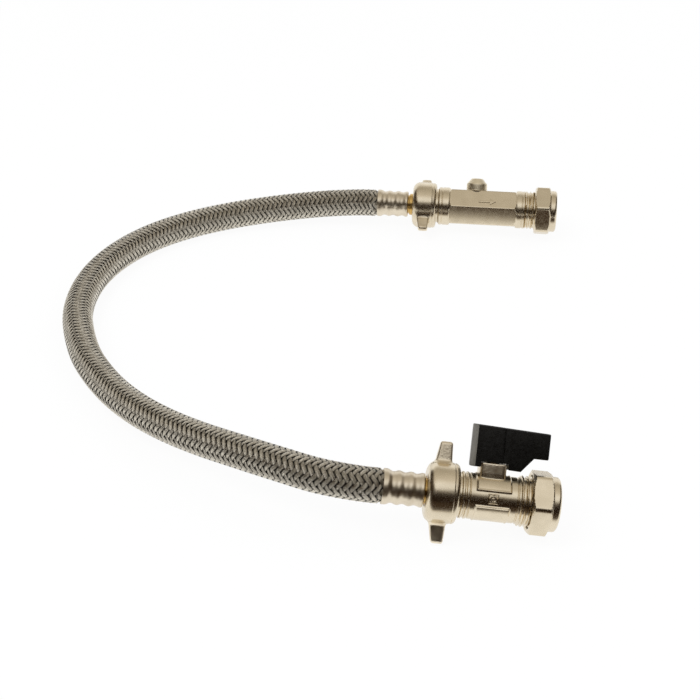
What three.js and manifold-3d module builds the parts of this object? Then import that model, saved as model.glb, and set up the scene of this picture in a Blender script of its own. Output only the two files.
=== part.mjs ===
// Filling loop: a braided hose with a lever ball valve on one end and a double check valve
// on the other. It lies on a flat surface at z = 0, with both pipe ends towards +X.
// Millimetres, +Z up. Each valve is built along its own +X axis, from the mouth of the
// ferrule that grips the hose, and is then laid down on the surface.

import * as THREE from 'three';
import { mergeVertices } from 'three/addons/utils/BufferGeometryUtils.js';
import Module from 'manifold-3d';

const wasm = await Module();
wasm.setup();

// Clearance between neighbouring pieces, and the overreach of a cutting tool
const gap = 0.3;
const past = 1;

// Broken edges, and how far two parts of one solid reach into each other
const edgeBreak = 0.4;
const bite = 0.3;

// Facets round a turned piece: outside, inside a valve, and on small rings
const outerFacets = 24;
const innerFacets = 16;
const smallFacets = 12;

// Hose
const hoseRadius = 7.25;
const braidThickness = 0.6;
const linerWall = 1.6;
const hoseFacets = 12;
const hoseSteps = 22;

// Ferrule crimped over the hose end
const ferruleLength = 16.6;
const ferruleLipRadius = 7.2;
const ferruleLipLength = 2.2;
const ferruleRibRadius = 6.9;
const ferruleGrooveDepth = 0.6;
const ferruleWall = 0.6;
const ferruleRibCount = 3;
const ferruleFirstGroove = 4;
const ferruleRibFlat = 0.9;
const ferruleEndLand = 0.8;
const ferruleEndFold = 0.9;
const ferruleLipEdge = 0.3;
const ferruleLipFall = 0.4;

// Brass hose tail
const tailBoreRadius = 2.8;
const tailCollarLength = 1;
const tailReach = 1;
const linerCrimpReach = 2;
const tailStemRadius = 3.6;
const tailBarbHeight = 0.3;
const tailBarbCount = 3;
const tailNeckRadius = 4.3;
const tailGrooveRadius = 5.1;
const tailGrooveLength = 0.6;
const tailSleeveRadius = 5.7;
const tailSleeveLength = 1.7;
const tailFlangeRadius = 9.9;
const tailFlangeThickness = 2;

// Swivel wing nut
const wingNutWall = 1.5;
const wingNutLength = 12.6;
const wingNutShoulder = 3.6;
const wingNutFlange = 2.8;
const wingNutChamfer = 1;
const wingReach = 20.3;
const wingRootStart = 2.3;
const wingRootLength = 7.2;
const wingTipStart = 4.2;
const wingTipLength = 4.8;
const wingRootThickness = 5.2;
const wingTipThickness = 2.8;
const wingCornerRadius = 1.5;
const wingRootDepth = 2;

// Sealing washer between hose tail and valve
const washerThickness = 1.8;
const washerHoleRadius = 4.6;
const washerRim = 0.7;

// Half-inch parallel pipe thread, shared by both valves and all nuts
const threadRadius = 10.45;
const threadPitch = 1.814;
const threadDepth = 0.75;
const threadChamfer = 0.8;

// Fifteen millimetre compression end
const pipeRadius = 7.5;
const socketClearance = 0.15;
const nutHoleClearance = 0.3;
const nutAcrossFlats = 24;
const nutHexLength = 8;
const nutCollarLength = 3.5;
const nutCollarRadius = 11;
const nutEngagement = 5.2;
const nutEndWall = 1.4;
const nutChamfer = 1.1;
const nutFaceInset = 0.2;
const nutCollarBevel = 0.5;
const nutThreadPast = 2.5;
const nutConeRise = 1.7;
const oliveSetback = 0.6;
const mouthConeDepth = 1.3;
const mouthConeRise = 1.15;
const oliveLength = 5.1;
const oliveClearance = 0.05;
const oliveRise = 1.35;
const oliveEdge = 0.35;
const oliveRidge = 1.2;

// Ball valve body
const ballBodyRadius = 9.2;
const ballBodyLength = 19.9;
const ballNeckGap = 2.7;
const ballReliefRadius = 8.8;
const reliefRingRise = 0.55;
const reliefRingLength = 1.2;
const ballStemOffset = 8.4;
const ballWaist = 0.1;
const neckFoot = 0.6;
const stopReach = 2.2;
const ballVisibleThread = 4.4;
const padRise = 0.4;
const padLength = 13.8;
const padOffset = 0.5;
const padHalfGap = 2.9;
const stampSize = 4.2;
const stampRise = 0.25;
const neckWidth = 10.8;
const neckCorner = 2.8;
const neckPocketClearance = 1.5;
const neckHeight = 13.7;
const stopSize = 1;
const stopTurn = 40;
const stopHeight = 1.9;

// Ball, seats and spindle
const ballRadius = 6.3;
const ballBoreRadius = 4;
const chamberRadius = 7.2;
const seatThickness = 2.1;
const seatHoleRadius = 4.3;
const seatLip = 0.8;
const stopBoreRadius = 4.4;
const pipeStopLength = 2.5;
const retainerSocket = 5.2;
const retainerSocketDepth = 3;
const tangThickness = 2.2;
const tangWidth = 5;
const ballSlotDepth = 1.8;
const spindleFlangeRadius = 3.6;
const spindleFlangeThickness = 1.2;
const spindleRadius = 2.6;
const spindleGroove = 1;
const spindleGrooveLength = 1.4;
const oRingSection = 0.35;
const spindleSquare = 3.6;
const spindleSquareLength = 6.8;
const spindleGrooveRise = 1.2;

// Lever handle and its screw
const handleHubStart = 9.3;
const handleHubEnd = 3.5;
const handleHubThickness = 8.8;
const handleFlagEnd = 21.6;
const handleFlagThickness = 7;
const handleTop = 28.7;
const handleTopFall = 1.1;
const handleSkirt = 11.9;
const handleSkirtEnd = 11;
const handleFlagBottom = 17.2;
const handleFlagStart = 15.8;
const handleCorner = 2.6;
const handleShoulder = 0.6;
const handleSkirtFall = 0.4;
const screwRecessClearance = 0.4;
const handleWeb = 3;
const screwRadius = 1.5;
const screwHeadRadius = 3;
const screwHeadHeight = 2.2;
const screwHeadBevel = 0.9;
const screwHeadCrown = 0.7;
const screwSlotWidth = 0.9;
const screwSlotDepth = 1.1;
const screwDepth = 4;

// Check valve body
const checkHexAcross = 18.3;
const checkHexLength = 35.6;
const checkHexTurn = 30;
const checkInnerCollarRadius = 10.15;
const checkInnerCollarLength = 6.1;
const checkOuterCollarRadius = 10;
const checkOuterCollarLength = 4.7;
const checkNeckGap = 1.5;
const checkVisibleThread = 5.6;
const checkReliefRadius = 9;
const cartridgeBoreRadius = 6.6;
const checkStopBoreRadius = 5.2;
const checkStopLength = 2.8;
const checkPipeStopInset = 2.5;
const checkBevel = 0.6;
const checkRootInset = 0.3;

// Test boss and plug
const bossOffset = -3.8;
const bossRadius = 5.5;
const bossStraight = 3.5;
const bossCone = 3;
const bossTopRadius = 2.9;
const plugRadius = 1.8;
const plugLength = 4.4;
const plugInset = 0.4;
const plugSocketRadius = 1;
const plugSocketDepth = 1.8;
const plugSealThickness = 0.7;
const portRadius = 1;

// Check cartridges
const cartridgeLength = 13.6;
const cartridgeWall = 1;
const cartridgeSeatLength = 4;
const cartridgeSeatRadius = 3.4;
const cartridgeGrooveStart = 1.2;
const cartridgeGrooveLength = 1.4;
const cartridgeGrooveDepth = 1.2;
const spiderLength = 2;
const spiderHubRadius = 2.1;
const spiderArmWidth = 1.4;
const spiderArmCount = 3;
const poppetRadius = 4.4;
const poppetThickness = 1.2;
const poppetStemRadius = 0.9;
const poppetStemPast = 1.2;
const poppetBevel = 0.6;
const springWire = 0.3;
const springRadius = 2.6;
const springTurns = 4;
const springStepsPerTurn = 10;
const circlipThickness = 1;
const circlipDepth = 0.8;
const circlipSpan = 1.6;
const circlipOpening = 60;

// Where each ferrule mouth lies, and how each valve is turned: rolled about its own axis,
// tipped so that it rests on its wing nut and compression nut, and swung on the surface
const nearMouth = { x: -46.0, y: -134.1 };
const farMouth = { x: -48.3, y: 128.9 };
const nearRoll = -34;
const farRoll = -28.5;
const nearSwing = 0;
const farSwing = -4.8;
const farTip = -1.55;
const farWingTurn = -48;
const nearNutSlack = 1.9;
const farNutSlack = 0;
const nearNutTurn = 38;
const farNutTurn = 26;

// The hose's route, from the near ferrule to the far one
const hoseRoute = [
  [-46.3, -134.1, 19.9],
  [-54.3, -134, 20.5],
  [-71.3, -130.4, 20.9],
  [-88.7, -121.9, 20],
  [-105.5, -111.6, 17.9],
  [-121.5, -100.6, 15.2],
  [-136.5, -88.6, 12.6],
  [-150.1, -75.7, 10.5],
  [-162.5, -61.2, 9],
  [-172.6, -46, 8],
  [-181.3, -29.4, 7.5],
  [-187.6, -11.2, 7.3],
  [-191.8, 7.5, 7.3],
  [-192.3, 26.3, 7.3],
  [-189.5, 44.6, 7.3],
  [-183.3, 62.1, 7.3],
  [-174, 78.1, 7.3],
  [-161.7, 92.3, 7.3],
  [-146.9, 104.1, 7.4],
  [-130.2, 113.5, 7.7],
  [-112.2, 120.5, 8.3],
  [-93.5, 125.5, 9.2],
  [-74.4, 128.5, 10.3],
  [-55.6, 129.5, 11.2],
  [-48.6, 128.9, 11.4],
];

const nickel = { color: 0xb9a88f, roughness: 0.3, metalness: 1 };
const brass = { color: 0xc79a4b, roughness: 0.32, metalness: 1 };
const steel = { color: 0x9b9a97, roughness: 0.38, metalness: 1 };
const blackPlastic = { color: 0x0c0c0d, roughness: 0.42, metalness: 0 };
const rubber = { color: 0x1b1b1b, roughness: 0.8, metalness: 0 };
const fibre = { color: 0x6d3a2a, roughness: 0.75, metalness: 0 };
const ptfe = { color: 0xf1efe8, roughness: 0.5, metalness: 0 };
const acetal = { color: 0xdcd8cc, roughness: 0.45, metalness: 0 };

const degrees = THREE.MathUtils.degToRad;

// A closed three.js geometry as a solid, with its faces turned outwards
function toSolid(geometry) {
  const bare = new THREE.BufferGeometry();
  bare.setAttribute('position', geometry.getAttribute('position'));
  bare.setIndex(geometry.getIndex());
  const merged = mergeVertices(bare, 1e-4);
  const vertProperties = new Float32Array(merged.getAttribute('position').array);
  const index = merged.getIndex().array;
  const corner = (i) => new THREE.Vector3().fromArray(vertProperties, 3 * i);
  const triangles = [];
  let volume = 0;
  for (let i = 0; i < index.length; i += 3) {
    const [a, b, c] = index.subarray(i, i + 3);
    if (a === b || b === c || c === a) continue;
    triangles.push(a, b, c);
    volume += corner(a).dot(corner(b).cross(corner(c)));
  }
  if (volume < 0) triangles.reverse();
  return new wasm.Manifold(
    new wasm.Mesh({ numProp: 3, vertProperties, triVerts: new Uint32Array(triangles) }),
  );
}

function toMesh(name, solid, finish) {
  const { vertProperties, triVerts } = solid.getMesh();
  const geometry = new THREE.BufferGeometry();
  geometry.setAttribute('position', new THREE.BufferAttribute(vertProperties, 3));
  geometry.setIndex(new THREE.BufferAttribute(triVerts, 1));
  geometry.computeVertexNormals();
  const mesh = new THREE.Mesh(geometry, new THREE.MeshStandardMaterial(finish));
  mesh.name = name;
  return mesh;
}

// A turned piece about +X, from [x, radius] points; an outline off the axis is closed
function turned(outline, facets = outerFacets) {
  const points = outline.map(([x, radius]) => new THREE.Vector2(radius, x));
  const onAxis = outline[0][1] === 0 && outline.at(-1)[1] === 0;
  if (!onAxis) points.push(points[0].clone());
  return toSolid(new THREE.LatheGeometry(points, facets).rotateZ(-Math.PI / 2));
}

function ring(start, end, outer, inner, facets = outerFacets) {
  return turned([[start, inner], [start, outer], [end, outer], [end, inner]], facets);
}

function rod(start, end, radius, facets = innerFacets) {
  return turned([[start, 0], [start, radius], [end, radius], [end, 0]], facets);
}

function block(xs, ys, zs) {
  const box = new THREE.BoxGeometry(xs[1] - xs[0], ys[1] - ys[0], zs[1] - zs[0]);
  box.translate((xs[0] + xs[1]) / 2, (ys[0] + ys[1]) / 2, (zs[0] + zs[1]) / 2);
  return toSolid(box);
}

// A six-sided bar along +X with a corner on +Z, turned about X by the given degrees
function hexBar(start, end, acrossFlats, turn = 0) {
  const radius = acrossFlats / 2 / Math.cos(Math.PI / 6);
  const bar = new THREE.CylinderGeometry(radius, radius, end - start, 6);
  bar.rotateZ(-Math.PI / 2).rotateX(degrees(turn)).translate((start + end) / 2, 0, 0);
  return toSolid(bar);
}

// A round bar about +Z through the given x
function upright(x, low, high, radius, facets = innerFacets) {
  const bar = new THREE.CylinderGeometry(radius, radius, high - low, facets);
  bar.rotateX(Math.PI / 2).translate(x, 0, (low + high) / 2);
  return toSolid(bar);
}

// A turned piece about +Z through the given x, from [z, radius] points
function uprightTurned(x, outline, facets = innerFacets) {
  const points = outline.map(([z, radius]) => new THREE.Vector2(radius, z));
  const onAxis = outline[0][1] === 0 && outline.at(-1)[1] === 0;
  if (!onAxis) points.push(points[0].clone());
  const geometry = new THREE.LatheGeometry(points, facets);
  return toSolid(geometry.rotateX(Math.PI / 2).translate(x, 0, 0));
}

// A flat outline drawn in x and z, given thickness along y
function plate(shape, thickness) {
  const geometry = new THREE.ExtrudeGeometry(shape, {
    depth: thickness, bevelEnabled: false, curveSegments: 3,
  });
  return toSolid(geometry.translate(0, 0, -thickness / 2).rotateX(Math.PI / 2));
}

function oRing(x, centreRadius, section = oRingSection) {
  const geometry = new THREE.TorusGeometry(centreRadius, section, 6, smallFacets);
  return toSolid(geometry.rotateY(Math.PI / 2).translate(x, 0, 0));
}

// A rounded polygon from corner points, each rounded by the same radius
function roundedShape(corners, radius) {
  const shape = new THREE.Shape();
  corners.forEach((corner, i) => {
    const before = corners[(i + corners.length - 1) % corners.length];
    const after = corners[(i + 1) % corners.length];
    const point = new THREE.Vector2(...corner);
    const inward = new THREE.Vector2(...before).sub(point);
    const outward = new THREE.Vector2(...after).sub(point);
    const start = point.clone().add(inward.setLength(Math.min(radius, inward.length() / 2)));
    const end = point.clone().add(outward.setLength(Math.min(radius, outward.length() / 2)));
    if (i === 0) shape.moveTo(start.x, start.y);
    else shape.lineTo(start.x, start.y);
    shape.quadraticCurveTo(point.x, point.y, end.x, end.y);
  });
  shape.closePath();
  return shape;
}

// Crests and roots of a thread as plain rings, as [x, radius] points
function threadOutline(start, end, crest, depth) {
  const turns = Math.max(1, Math.round((end - start) / threadPitch));
  const pitch = (end - start) / turns;
  const points = [];
  for (let i = 0; i < turns; i += 1) {
    const x = start + i * pitch;
    points.push([x + pitch / 10, crest - depth], [x + pitch / 2, crest]);
  }
  return points;
}

// Stations along each valve, measured from the ferrule mouth
const tailStart = ferruleLength + gap;
const wingNutRadius = threadRadius + gap + wingNutWall;
const wingNutStart = tailStart + tailGrooveLength + tailSleeveLength;
const wingNutEnd = wingNutStart + wingNutLength;
const tailFlangeStart = wingNutStart + wingNutFlange + gap;
const tailEnd = tailFlangeStart + tailFlangeThickness;
const washerStart = tailEnd + gap;
const valveStart = washerStart + washerThickness + gap;
const ferruleInner = ferruleRibRadius - ferruleGrooveDepth - ferruleWall;
const socketRadius = pipeRadius + socketClearance;
const linerOuter = hoseRadius - braidThickness - gap;
const linerInner = linerOuter - linerWall;

function ferrule() {
  const ribs = [];
  const groove = ferruleRibRadius - ferruleGrooveDepth;
  const pitch = (ferruleLength - ferruleEndLand - ferruleFirstGroove) / (ferruleRibCount - 0.5);
  const half = ferruleRibFlat / 2;
  for (let i = 0; i < ferruleRibCount; i += 1) {
    const low = ferruleFirstGroove + i * pitch;
    const high = low + pitch / 2;
    ribs.push([low - half, groove], [low + half, groove]);
    ribs.push([high - half, ferruleRibRadius], [high + half, ferruleRibRadius]);
  }
  const lipInner = ferruleLipRadius - ferruleWall;
  return turned([
    [0, lipInner],
    [0, ferruleLipRadius - ferruleLipEdge],
    [ferruleLipEdge, ferruleLipRadius],
    [ferruleLipLength - ferruleLipFall, ferruleLipRadius],
    ...ribs,
    [ferruleLength, ferruleRibRadius - ferruleLipEdge],
    [ferruleLength, tailNeckRadius + gap],
    [ferruleLength - ferruleEndFold, tailNeckRadius + gap],
    [ferruleLength - ferruleEndFold, ferruleInner],
    [ferruleLipLength, ferruleInner],
  ]);
}

function hoseTail() {
  const barbs = [];
  const barbStart = ferruleLipLength;
  const stemEnd = ferruleLength - ferruleEndFold - gap;
  const pitch = (stemEnd - barbStart - tailCollarLength) / tailBarbCount;
  for (let i = 0; i < tailBarbCount; i += 1) {
    const x = barbStart + i * pitch;
    barbs.push([x, tailStemRadius], [x + 0.75 * pitch, tailStemRadius + tailBarbHeight]);
  }
  return turned([
    [ferruleLipLength - tailReach, tailBoreRadius],
    [ferruleLipLength - tailReach, tailStemRadius],
    ...barbs,
    [stemEnd - tailCollarLength, tailStemRadius],
    [stemEnd - tailCollarLength, tailNeckRadius],
    [tailStart, tailNeckRadius],
    [tailStart, tailGrooveRadius],
    [tailStart + tailGrooveLength, tailGrooveRadius],
    [tailStart + tailGrooveLength, tailSleeveRadius],
    [tailFlangeStart, tailSleeveRadius],
    [tailFlangeStart, tailFlangeRadius],
    [tailEnd, tailFlangeRadius],
    [tailEnd, tailBoreRadius],
  ], innerFacets);
}

// The liner's thinned end, gripped between the tail's barbs and the ferrule
function crimpedLiner() {
  const end = ferruleLength - ferruleEndFold - gap - tailCollarLength - gap;
  return ring(-linerCrimpReach, end, ferruleInner - gap, tailStemRadius + tailBarbHeight + gap, innerFacets);
}

function wing() {
  const root = wingNutStart + wingRootStart;
  const tip = wingNutStart + wingTipStart;
  const shape = roundedShape([
    [root, wingNutRadius - wingRootDepth],
    [root + wingRootLength, wingNutRadius - wingRootDepth],
    [tip + wingTipLength, wingReach],
    [tip, wingReach],
  ], wingCornerRadius);
  const rootHalf = wingRootThickness / 2;
  const tipHalf = wingTipThickness / 2;
  const taper = new THREE.Shape([
    new THREE.Vector2(-rootHalf, wingNutRadius - wingRootDepth - past),
    new THREE.Vector2(rootHalf, wingNutRadius - wingRootDepth - past),
    new THREE.Vector2(tipHalf, wingReach + past),
    new THREE.Vector2(-tipHalf, wingReach + past),
  ]);
  const wedge = new THREE.ExtrudeGeometry(taper, { depth: wingNutLength, bevelEnabled: false });
  wedge.rotateX(Math.PI / 2).rotateZ(Math.PI / 2).translate(wingNutStart, 0, 0);
  return plate(shape, wingRootThickness + past).intersect(toSolid(wedge));
}

// slack is how far the nut stands back from the tail's flange
function wingNut(turn, slack) {
  const arc = [];
  for (let i = 0; i <= 3; i += 1) {
    const a = (i / 3) * Math.PI / 2;
    arc.push([
      wingNutStart + wingNutShoulder * (1 - Math.cos(a)),
      wingNutRadius - wingNutShoulder * (1 - Math.sin(a)),
    ]);
  }
  const body = turned([
    [wingNutStart, tailSleeveRadius + gap],
    ...arc,
    [wingNutEnd - wingNutChamfer, wingNutRadius],
    [wingNutEnd, wingNutRadius - wingNutChamfer],
    [wingNutEnd, threadRadius + gap],
    [wingNutStart + wingNutFlange, threadRadius + gap],
    [wingNutStart + wingNutFlange, tailSleeveRadius + gap],
  ]);
  const upper = wing();
  const lower = upper.rotate([180, 0, 0]);
  const core = rod(wingNutStart, wingNutEnd, wingNutRadius - 1, outerFacets);
  const wings = upper.add(lower).subtract(core);
  return body.add(wings).rotate([turn, 0, 0]).translate([-slack, 0, 0]);
}

function sealingWasher() {
  const rim = threadRadius - washerRim;
  return ring(washerStart, washerStart + washerThickness, rim, washerHoleRadius, innerFacets);
}

// The outline of a compression mouth, from the body's shoulder out to the mouth and back
// in to the pipe stop
function compressionMouth(shoulder, mouth, stop) {
  const visibleEnd = mouth - nutEngagement;
  return [
    ...threadOutline(shoulder, visibleEnd, threadRadius, threadDepth),
    [visibleEnd, threadRadius - threadDepth],
    [visibleEnd + edgeBreak, threadRadius],
    [mouth - threadChamfer, threadRadius],
    [mouth, threadRadius - threadChamfer],
    [mouth, socketRadius + mouthConeRise],
    [mouth - mouthConeDepth, socketRadius],
    [stop, socketRadius],
  ];
}

function compressionNut(mouth, turn) {
  const start = mouth - nutEngagement;
  const hexEnd = start + nutHexLength;
  const end = hexEnd + nutCollarLength;
  const cornerRadius = nutAcrossFlats / 2 / Math.cos(Math.PI / 6) + edgeBreak / 8;
  const flatRadius = nutAcrossFlats / 2 - nutFaceInset;
  const lathed = turned([
    [start, 0],
    [start, flatRadius],
    [start + nutChamfer, cornerRadius],
    [hexEnd - nutChamfer, cornerRadius],
    [hexEnd, flatRadius],
    [hexEnd, 0],
  ]);
  const oliveEnd = oliveStart(mouth) + oliveLength;
  const coneStart = mouth + nutThreadPast;
  const wallStart = end - nutEndWall;
  const hole = pipeRadius + nutHoleClearance;
  const oliveEdgeRadius = pipeRadius + oliveClearance + oliveEdge;
  const inside = turned([
    [start - past, 0],
    [start - past, threadRadius + gap],
    [coneStart, threadRadius + gap],
    [coneStart, oliveEdgeRadius + nutConeRise],
    [Math.max(oliveEnd + gap, wallStart - edgeBreak / 4), oliveEdgeRadius + gap],
    [wallStart, hole],
    [end + past, hole],
    [end + past, 0],
  ]);
  const collar = turned([
    [hexEnd - past, 0],
    [hexEnd - past, nutCollarRadius],
    [end - nutChamfer, nutCollarRadius],
    [end - edgeBreak, nutCollarRadius - nutCollarBevel],
    [end, nutCollarRadius - nutChamfer],
    [end, 0],
  ]);
  const hex = hexBar(start, hexEnd, nutAcrossFlats, turn).intersect(lathed);
  return hex.add(collar).subtract(inside);
}

function oliveStart(mouth) {
  return mouth - oliveSetback;
}

function olive(mouth) {
  const start = oliveStart(mouth);
  const inner = pipeRadius + oliveClearance;
  const edge = inner + oliveEdge;
  const ridge = inner + oliveRise;
  const slope = (oliveLength - oliveRidge) / 2;
  return turned([
    [start, inner],
    [start, edge],
    [start + slope, ridge],
    [start + slope + oliveRidge, ridge],
    [start + oliveLength, edge],
    [start + oliveLength, inner],
  ], innerFacets + 8);
}

// Ball valve stations
const ballBodyStart = wingNutEnd + ballNeckGap;
const stemX = ballBodyStart + ballStemOffset;
const ballBodyEnd = ballBodyStart + ballBodyLength;
const ballPadCentre = stemX + padOffset;
const ballMouth = ballBodyEnd + ballVisibleThread + nutEngagement;
const seatFace = Math.sqrt(ballRadius ** 2 - seatHoleRadius ** 2) + gap;
const seatBack = seatFace + seatThickness;
const chamberEnd = stemX + seatBack + gap;
const pipeStop = chamberEnd + pipeStopLength;
const spindleFlangeLow = ballRadius + gap;
const spindleFlangeHigh = spindleFlangeLow + spindleFlangeThickness;

// One raised ring in the relief behind a thread
function reliefRings(start, radius) {
  const crest = radius + reliefRingRise;
  return [
    [start, radius],
    [start + reliefRingLength / 4, crest],
    [start + reliefRingLength * 0.75, crest],
    [start + reliefRingLength, radius],
  ];
}

function ballValveBody() {
  const maleThreadEnd = wingNutEnd - nearNutSlack - edgeBreak;
  const shell = turned([
    [valveStart, chamberRadius],
    [valveStart, threadRadius - threadChamfer],
    [valveStart + threadChamfer, threadRadius],
    [maleThreadEnd, threadRadius],
    [maleThreadEnd + edgeBreak, ballReliefRadius],
    ...reliefRings(maleThreadEnd + edgeBreak + reliefRingLength, ballReliefRadius),
    ...reliefRings(ballBodyStart - edgeBreak - reliefRingLength, ballReliefRadius),
    [ballBodyStart, ballReliefRadius],
    [ballBodyStart, ballBodyRadius],
    [ballPadCentre, ballBodyRadius - ballWaist],
    [ballBodyEnd, ballBodyRadius],
    ...compressionMouth(ballBodyEnd, ballMouth, pipeStop),
    [pipeStop, stopBoreRadius],
    [chamberEnd, stopBoreRadius],
    [chamberEnd, chamberRadius],
  ]);
  const padEnds = [ballPadCentre - padLength / 2, ballPadCentre + padLength / 2];
  const padRadius = ballBodyRadius + padRise;
  const band = block(
    [padEnds[0] - past, padEnds[1] + past],
    [-padRadius - past, padRadius + past],
    [-padHalfGap, padHalfGap],
  );
  const pads = ring(...padEnds, padRadius, ballBodyRadius - 1).subtract(band);
  const stamp = block(
    [ballPadCentre - stampSize / 2, ballPadCentre + stampSize / 2],
    [-ballBodyRadius - stampRise, -ballBodyRadius + 1],
    [-stampSize / 2, stampSize / 2],
  );
  const half = neckWidth / 2;
  const square = [[-half, -half], [half, -half], [half, half], [-half, half]];
  const outline = roundedShape(square, neckCorner);
  const neckBlank = new THREE.ExtrudeGeometry(outline, {
    depth: neckHeight - chamberRadius - neckFoot, bevelEnabled: false, curveSegments: 3,
  });
  const neck = toSolid(neckBlank.translate(stemX, 0, chamberRadius + neckFoot));
  const stopEnd = neckWidth / 2 + stopReach;
  const stopTall = [neckHeight - stopHeight, neckHeight];
  const stop = block([0, stopEnd], [-stopSize / 2, stopSize / 2], stopTall);
  const placedStop = stop.rotate([0, 0, stopTurn]).translate([stemX, 0, 0]);
  const spindleHole = upright(stemX, 0, neckHeight + past, spindleRadius + gap);
  const flangeHole = upright(stemX, 0, spindleFlangeHigh + gap, spindleFlangeRadius + gap);
  const outside = shell.add(pads).add(stamp).add(neck).add(placedStop);
  return outside.subtract(spindleHole).subtract(flangeHole);
}

function ball() {
  const sphere = toSolid(new THREE.SphereGeometry(ballRadius, 20, 12));
  const bore = rod(-ballRadius - past, ballRadius + past, ballBoreRadius);
  const slotHalf = tangThickness / 2 + gap;
  const slot = block(
    [-slotHalf, slotHalf],
    [-ballRadius - past, ballRadius + past],
    [ballRadius - ballSlotDepth, ballRadius + past],
  );
  return sphere.subtract(bore).subtract(slot).translate([stemX, 0, 0]);
}

// One seat ring; side is -1 on the hose side of the ball and 1 on the pipe side
function ballSeat(side) {
  const outer = chamberRadius - gap;
  const at = (x) => stemX + side * x;
  return turned([
    [at(seatBack), seatHoleRadius],
    [at(seatFace), seatHoleRadius],
    [at(seatFace - seatLip), ballRadius],
    [at(seatFace - seatLip), outer],
    [at(seatBack), outer],
  ], innerFacets);
}

function seatRetainer() {
  const end = stemX - seatBack - gap;
  const outer = chamberRadius - gap;
  return turned([
    [valveStart + gap, retainerSocket],
    [valveStart + gap, outer],
    [end, outer],
    [end, seatHoleRadius],
    [valveStart + gap + retainerSocketDepth, seatHoleRadius],
    [valveStart + gap + retainerSocketDepth, retainerSocket],
  ], innerFacets);
}

const spindleGrooveLow = spindleFlangeHigh + spindleGrooveRise;
const spindleShoulder = neckHeight + gap;
const spindleTop = spindleShoulder + spindleSquareLength;

function spindle() {
  const turnedPart = uprightTurned(stemX, [
    [spindleFlangeLow, 0],
    [spindleFlangeLow, spindleFlangeRadius],
    [spindleFlangeHigh, spindleFlangeRadius],
    [spindleFlangeHigh, spindleRadius],
    [spindleGrooveLow, spindleRadius],
    [spindleGrooveLow, spindleRadius - spindleGroove],
    [spindleGrooveLow + spindleGrooveLength, spindleRadius - spindleGroove],
    [spindleGrooveLow + spindleGrooveLength, spindleRadius],
    [spindleShoulder, spindleRadius],
    [spindleShoulder, 0],
  ]);
  const tang = block(
    [stemX - tangThickness / 2, stemX + tangThickness / 2],
    [-tangWidth / 2, tangWidth / 2],
    [ballRadius - ballSlotDepth + gap, spindleFlangeLow + bite],
  );
  const half = spindleSquare / 2;
  const square = block([stemX - half, stemX + half], [-half, half], [spindleShoulder - bite, spindleTop]);
  const holeEnds = [spindleTop - screwDepth - gap, spindleTop + past];
  const screwHole = upright(stemX, ...holeEnds, screwRadius + gap / 2, smallFacets);
  return turnedPart.add(tang).add(square).subtract(screwHole);
}

function spindleORing() {
  const centre = spindleRadius + gap / 2 - oRingSection;
  const geometry = new THREE.TorusGeometry(centre, oRingSection, 6, smallFacets);
  return toSolid(geometry.translate(stemX, 0, spindleGrooveLow + spindleGrooveLength / 2));
}

const handleSocketTop = spindleTop + gap;
const screwSeat = handleSocketTop + handleWeb;

function leverHandle() {
  const side = roundedShape([
    [-handleHubStart, handleSkirt],
    [handleSkirtEnd, handleSkirt - handleSkirtFall],
    [handleFlagStart, handleFlagBottom],
    [handleFlagEnd, handleFlagBottom],
    [handleFlagEnd, handleTop - handleTopFall],
    [-handleHubStart, handleTop],
  ], handleCorner / 2);
  const hubHalf = handleHubThickness / 2;
  const flagHalf = handleFlagThickness / 2;
  const plan = roundedShape([
    [-handleHubStart, -hubHalf],
    [handleHubEnd, -hubHalf],
    [handleHubEnd + handleShoulder, -flagHalf],
    [handleFlagEnd, -flagHalf],
    [handleFlagEnd, flagHalf],
    [handleHubEnd + handleShoulder, flagHalf],
    [handleHubEnd, hubHalf],
    [-handleHubStart, hubHalf],
  ], handleCorner);
  const planBlank = new THREE.ExtrudeGeometry(plan, {
    depth: handleTop + past, bevelEnabled: false, curveSegments: 3,
  });
  const neckPocket = upright(0, 0, spindleShoulder, neckWidth / 2 + neckPocketClearance, outerFacets);
  const half = spindleSquare / 2 + gap;
  const socket = block([-half, half], [-half, half], [neckHeight, handleSocketTop]);
  const screwShaft = upright(0, neckHeight, handleTop, screwRadius + gap);
  const screwRecess = upright(0, screwSeat, handleTop + past, screwHeadRadius + screwRecessClearance);
  return plate(side, handleHubThickness + past)
    .intersect(toSolid(planBlank))
    .subtract(neckPocket)
    .subtract(socket)
    .subtract(screwShaft)
    .subtract(screwRecess)
    .translate([stemX, 0, 0]);
}

function leverScrew() {
  const low = screwSeat + gap;
  const high = low + screwHeadHeight;
  const blank = uprightTurned(stemX, [
    [spindleTop - screwDepth, 0],
    [spindleTop - screwDepth, screwRadius],
    [low, screwRadius],
    [low, screwHeadRadius],
    [high - screwHeadCrown, screwHeadRadius],
    [high, screwHeadRadius - screwHeadBevel],
    [high, 0],
  ], smallFacets);
  const half = screwSlotWidth / 2;
  const long = screwHeadRadius + past;
  const slot = [[-half, half], [-long, long], [high - screwSlotDepth, high + past]];
  const across = block(...slot);
  const along = across.rotate([0, 0, 90]);
  return blank.subtract(across.add(along).translate([stemX, 0, 0]));
}

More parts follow.
